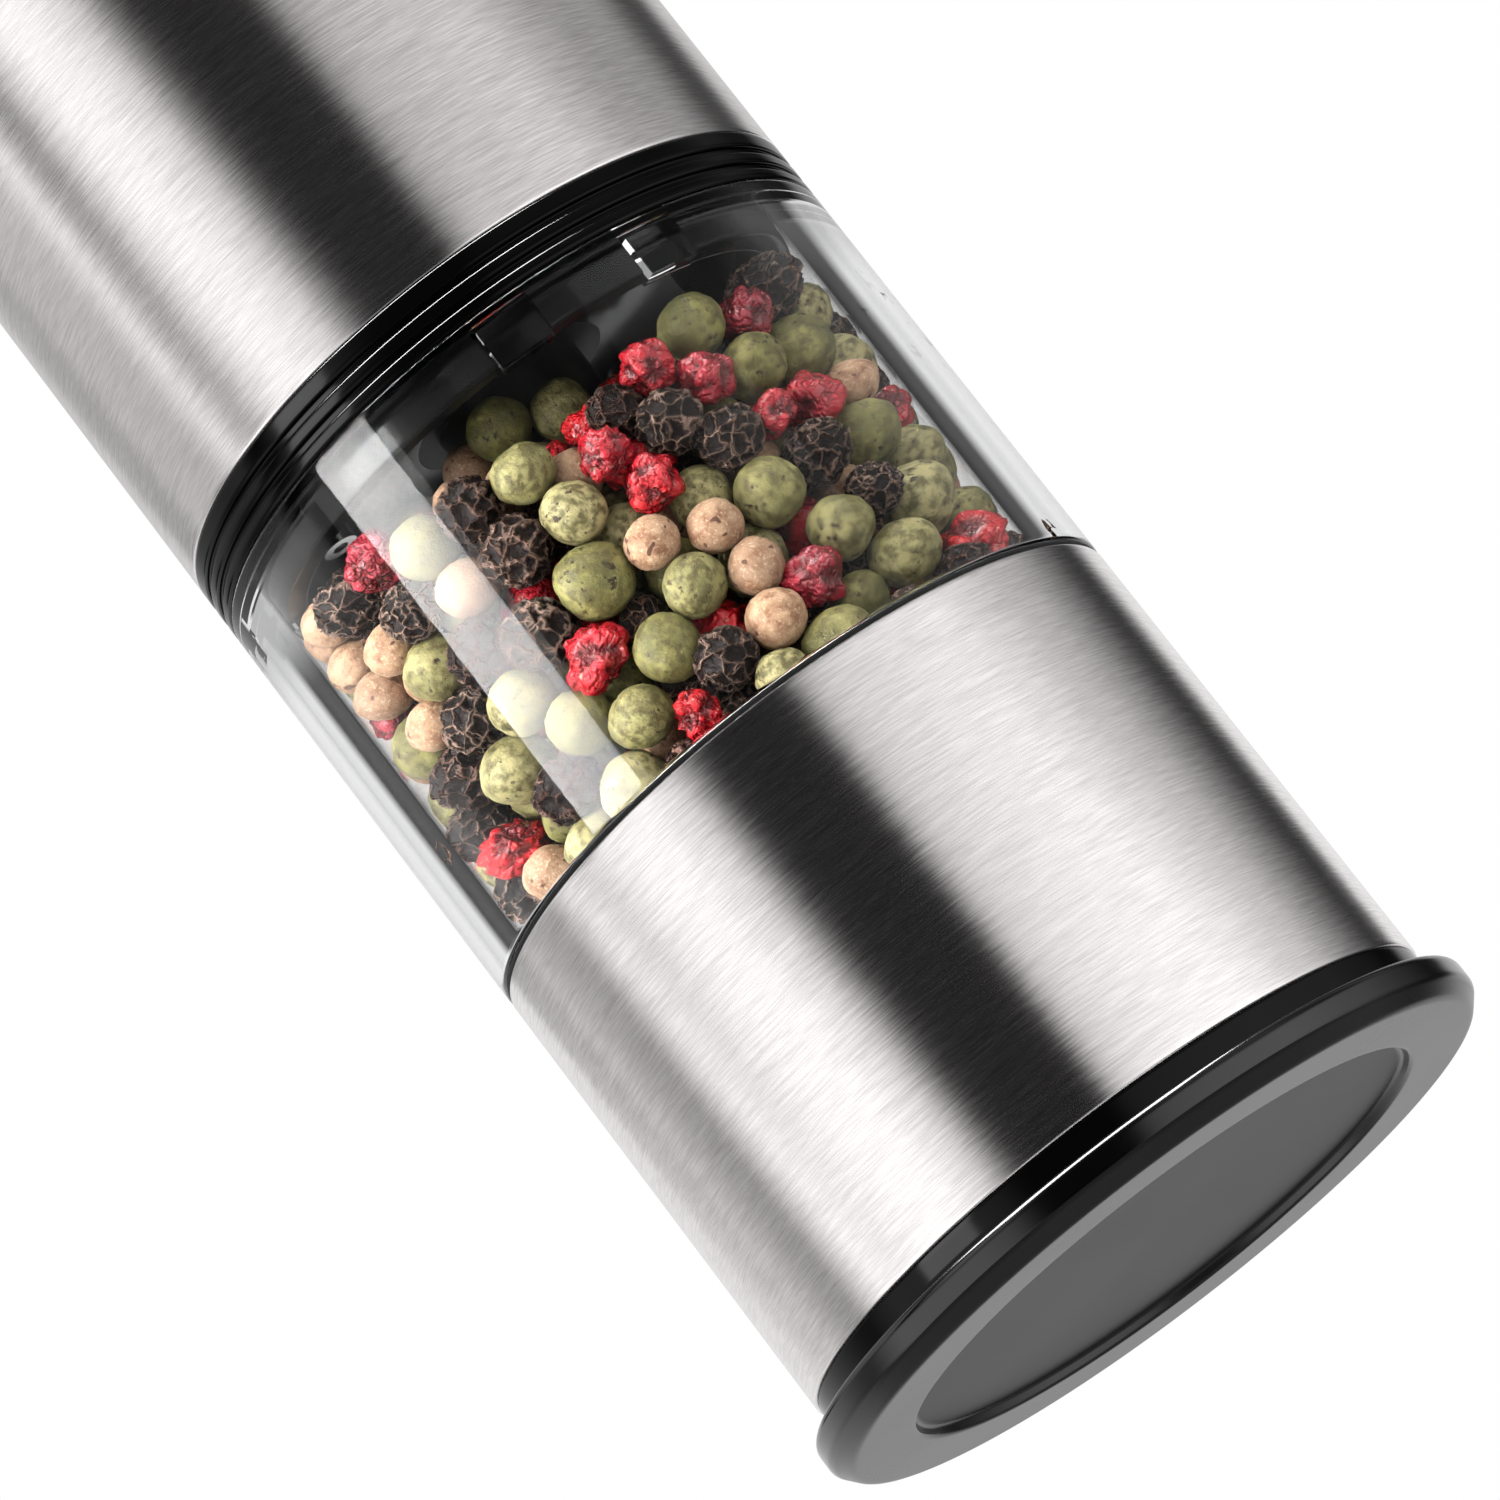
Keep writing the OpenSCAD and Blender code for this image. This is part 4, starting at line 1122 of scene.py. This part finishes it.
def red_skin():
    skin = Skin("red_corn")
    deep = skin.mix(skin.seed.between(0.2, 1.0), (0.40, 0.004, 0.008), (0.24, 0.009, 0.022))
    # Painted shade: the colour turns a dark red where the stored relief is low, in the hollows and creases.
    relief = skin.own("corn_relief").between(-1.6, 0.4)
    shade = skin.mix(relief, (0.10, 0.002, 0.004), deep)
    dry = skin.pattern(2.6, 4, 8).between(0.62, 0.74)
    colour = skin.mix(dry * 0.7, shade, (0.46, 0.18, 0.14))
    height = skin.pattern(6, 4, 3) * 0.5 - crease_of(skin.pattern(2.2, 2, 13))
    return skin.made_of(
        colour, Roughness=0.22 + dry * 0.3, Coat_Weight=0.4, Coat_Roughness=0.1,
        Normal=skin.bump(height, 0.9, 0.3 * MM))


# %% Corn pieces
CORN_FORMS = {  # skin, then dent, wrinkle, ridge and fold, each with its scale
    "green": (green_skin, 0.16, 0.9, 0.08, 3.5, 0.0, 2.0, 0.03, 1.6),
    "black": (black_skin, 0.24, 0.9, 0.08, 4.0, 0.24, BLACK_CELLS, 0.0, 2.0),
    "tan": (tan_skin, 0.14, 0.9, 0.06, 4.5, 0.0, 2.0, 0.03, 1.4),
    "red": (red_skin, 0.70, 1.1, 0.26, 2.4, 0.0, 2.0, 0.16, 1.2),
}
FINE, COARSE = 4, 2


def corn_cloud(name, chosen):
    """A mesh of bare points, one for each chosen corn, with its size, turn and seed."""
    mesh = mesh_of(name, (corn_spot[chosen] * MM).tolist())
    count = int(chosen.sum())
    rng = np.random.default_rng(CORN_SEED + len(name) + count)
    radius = corn_radius[chosen] * MM
    oval = 1 + rng.uniform(-0.07, 0.03, (count, 3))
    columns = {"corn_size": radius[:, None] * oval, "corn_turn": rng.uniform(0, math.tau, (count, 3)),
               "corn_radius": radius, "corn_seed": rng.uniform(0, 1, count)}
    for label, values in columns.items():
        vector = values.ndim == 2
        layer = mesh.attributes.new(label, "FLOAT_VECTOR" if vector else "FLOAT", "POINT")
        layer.data.foreach_set("vector" if vector else "value", values.ravel().astype(np.float32))
    return mesh


def make_corns(kind, detail, shown, skin):
    of_kind = corn_kind == list(CORN_KINDS).index(kind)
    name = f"{kind}_peppercorns" + ("" if shown else "_within")
    cloud = corn_cloud(name, of_kind & (corn_shown == shown))
    piece = grown(name, cloud, CORNS, dict(zip(CORN_LABELS, CORN_FORMS[kind][1:]), Detail=detail, Finish=skin))
    piece.data.shade_smooth()
    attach(piece, "root")
    print(name, len(piece.data.polygons), "faces")


for corn in CORN_KINDS:
    corn_finish = CORN_FORMS[corn][0]()
    make_corns(corn, FINE, True, corn_finish)
    make_corns(corn, COARSE, False, corn_finish)

# %% [markdown]
# ## Top cap and push button
# These are outside the photograph, so they follow its plastics: a glossy rim and a domed button. The top
# cap's skirt lines the tube, and three posts inside it take the screws of the plate under the button.

# %% Top cap and button
TOP_PLATE_DROP = 0.5 * MM
TOP_HOLE_R = 15.3 * MM
TOP_SKIRT = 1.6 * MM
TOP_SKIRT_H = 8 * MM
POST_R = 2.2 * MM
POST_REACH = 20.6 * MM
BUTTON_R = 15 * MM
BUTTON_WALL = 2 * MM
BUTTON_LIP = 1.8 * MM
BUTTON_LIP_H = 1.7 * MM
BUTTON_ROOF = 0.6 * MM
BUTTON_CROWN = 1 * MM
BUTTON_STEM_R = 3 * MM
DOME_SHARES = (0.85, 0.7, 0.55, 0.4, 0.25, 0.12, 0)


def make_top_cap():
    outer, seat, top = reach("upper_shell"), high("upper_shell"), high("top_cap")
    plate = seat - TOP_PLATE_DROP
    lining = outer - SHEET - LINING_GAP
    inner, skirt = lining - TOP_SKIRT, seat - TOP_SKIRT_H
    return turned("top_rim", [
        (TOP_HOLE_R, plate, 0), (inner, plate, 0), (inner, skirt, 0.2), (lining, skirt, 0.2), (lining, seat, 0),
        (outer, seat, 0.15), (outer, top, 1.4), (TOP_HOLE_R, top, 0.35)], GLOSS_BLACK)


def post_tree():
    """A round post at each point of the incoming mesh."""
    book = Tree("posts", Radius="Float", Height="Float")
    post = book.node("GeometryNodeMeshCylinder", None,
                     {"Vertices": 32, "Radius": book.given["Radius"], "Depth": book.given["Height"]})
    return book.ended(book.spread(book.given["Geometry"], post))


def make_posts():
    bottom = high("button_retainer")
    height = high("upper_shell") - TOP_PLATE_DROP - bottom
    mesh = mesh_of("posts", ring_of(POST_REACH, bottom + height / 2, [math.tau * i / 3 for i in range(3)]))
    settings = {"Radius": POST_R, "Height": height, "Finish": GLOSS_BLACK}
    return shaded(grown("top_posts", mesh, post_tree(), settings))


def make_button():
    lowest_stem, top = high("switch_plunger") + 0.2 * MM, high("push_button")
    seat = high("upper_shell")
    roof, lip = seat + BUTTON_ROOF, seat - TOP_PLATE_DROP - 0.4 * MM
    inner, lip_r, rise = BUTTON_R - BUTTON_WALL, BUTTON_R + BUTTON_LIP, top - BUTTON_CROWN
    below = lip - BUTTON_LIP_H
    dome = [(BUTTON_R * s, top - BUTTON_CROWN * s * s, 0) for s in DOME_SHARES]
    return turned("button", [
        (0, lowest_stem, 0), (BUTTON_STEM_R, lowest_stem, 0.2), (BUTTON_STEM_R, roof, 0), (inner, roof, 0),
        (inner, below, 0), (lip_r, below, 0.2), (lip_r, lip, 0.2), (BUTTON_R, lip, 0), (BUTTON_R, rise, 0.9),
        *dome], GLOSS_BLACK, closed=False)


stands_for(make_top_cap(), "shell", "top_cap")
stands_for(make_posts(), "shell", "top_cap")
stands_for(make_button(), "button", "push_button")

# %% [markdown]
# ## Inner parts
# Everything inside is the frame's own part with a finish for its material. They show when the head,
# the tube or the base cap comes off. Only the output's boss and its bush show through the jar, and
# those two take the black plastic finish in place of their own, so that they stay dark there.

# %% Inner finishes
def worked_metal(name, dark, light, gloss, lines=600):
    """Turned or drawn metal: fine lines in its tone and roughness."""
    finish = Finish(name)
    line = finish.texture((lines / 6, lines / 6, lines * 6))
    cloud = finish.texture(120, 3)
    return finish.made_of(
        finish.mix(line * 0.6 + cloud * 0.4, dark, light), Metallic=1.0, Roughness=gloss + (line - 0.5) * 0.15)


def painted_board():
    finish = Finish("board_green")
    weave = finish.texture((2500, 900, 900))
    return finish.made_of(
        finish.mix(weave, (0.006, 0.055, 0.022), (0.012, 0.10, 0.04)),
        Roughness=0.35 + (weave - 0.5) * 0.1, Normal=finish.bump(weave, 0.3, 0.05 * MM))


def cell_jacket():
    """A plain two-tone jacket: a dark body and a copper-coloured upper third."""
    finish = Finish("cell_jacket")
    start, end = low("battery_cells"), high("battery_cells")
    upper = finish.xyz()[2].between(*(start + share * (end - start) for share in (0.64, 0.65)))
    cloud = finish.texture(300)
    return finish.made_of(
        finish.mix(upper, (0.02, 0.022, 0.025), (0.55, 0.27, 0.10)), Metallic=upper * 0.8,
        Roughness=0.3 + (cloud - 0.5) * 0.1)


SLOT_FINISH = {
    "black_plastic": moulded("satin_black", grey(0.014), gloss=0.42, grain=0.06),
    "black_gloss": GLOSS_BLACK,
    "nylon_gear": moulded("nylon", (0.62, 0.59, 0.50), gloss=0.4, grain=0.02),
    "ceramic_burr": grained("ceramic", (0.70, 0.66, 0.56), (0.84, 0.82, 0.76), 0.45, 1800, 3, 0.35, 0.7),
    "bright_steel": worked_metal("bright_steel", grey(0.62), grey(0.80), 0.18),
    "spring_steel": worked_metal("spring_wire", grey(0.45), grey(0.65), 0.25, 900),
    "brass_part": worked_metal("brass", (0.50, 0.33, 0.12), (0.72, 0.52, 0.24), 0.24),
    "iron_core": worked_metal("iron_core", grey(0.16), grey(0.30), 0.45),
    "magnet": moulded("magnet", grey(0.05), gloss=0.6, grain=0.1),
    "motor_steel": worked_metal("motor_can", grey(0.42), grey(0.55), 0.3, 500),
    "board_green": painted_board(),
    "cell_jacket": cell_jacket(),
    "rubber_seal": RUBBER,
}
# These two take the black plastic finish in place of their own slot's, so that they stay dark through the jar.
SHOWS_BLACK = ("output_carrier", "output_bush")

# %% Dress the frame's own parts
dressed = 0
for part in frame["record"]["subparts"]:
    slot = "black_plastic" if part["node"] in SHOWS_BLACK else part["material_slot"]
    if slot in SLOT_FINISH:
        mesh = frame["nodes"][part["node"]].data
        mesh.materials.clear()
        mesh.materials.append(SLOT_FINISH[slot])
        dressed += 1
print("dressed", dressed, "of the frame's parts")

# %% [markdown]
# ## Closing the lesson
# Now that all pieces are there, each card is shown to its own.

# %% Cards
for card, numbers in CARDS.items():
    viewers = bpy.data.collections.new(card + "_viewers")
    for viewer in numbers[-1]:
        viewers.objects.link(bpy.data.objects[viewer])
    bpy.data.objects[card].light_linking.receiver_collection = viewers
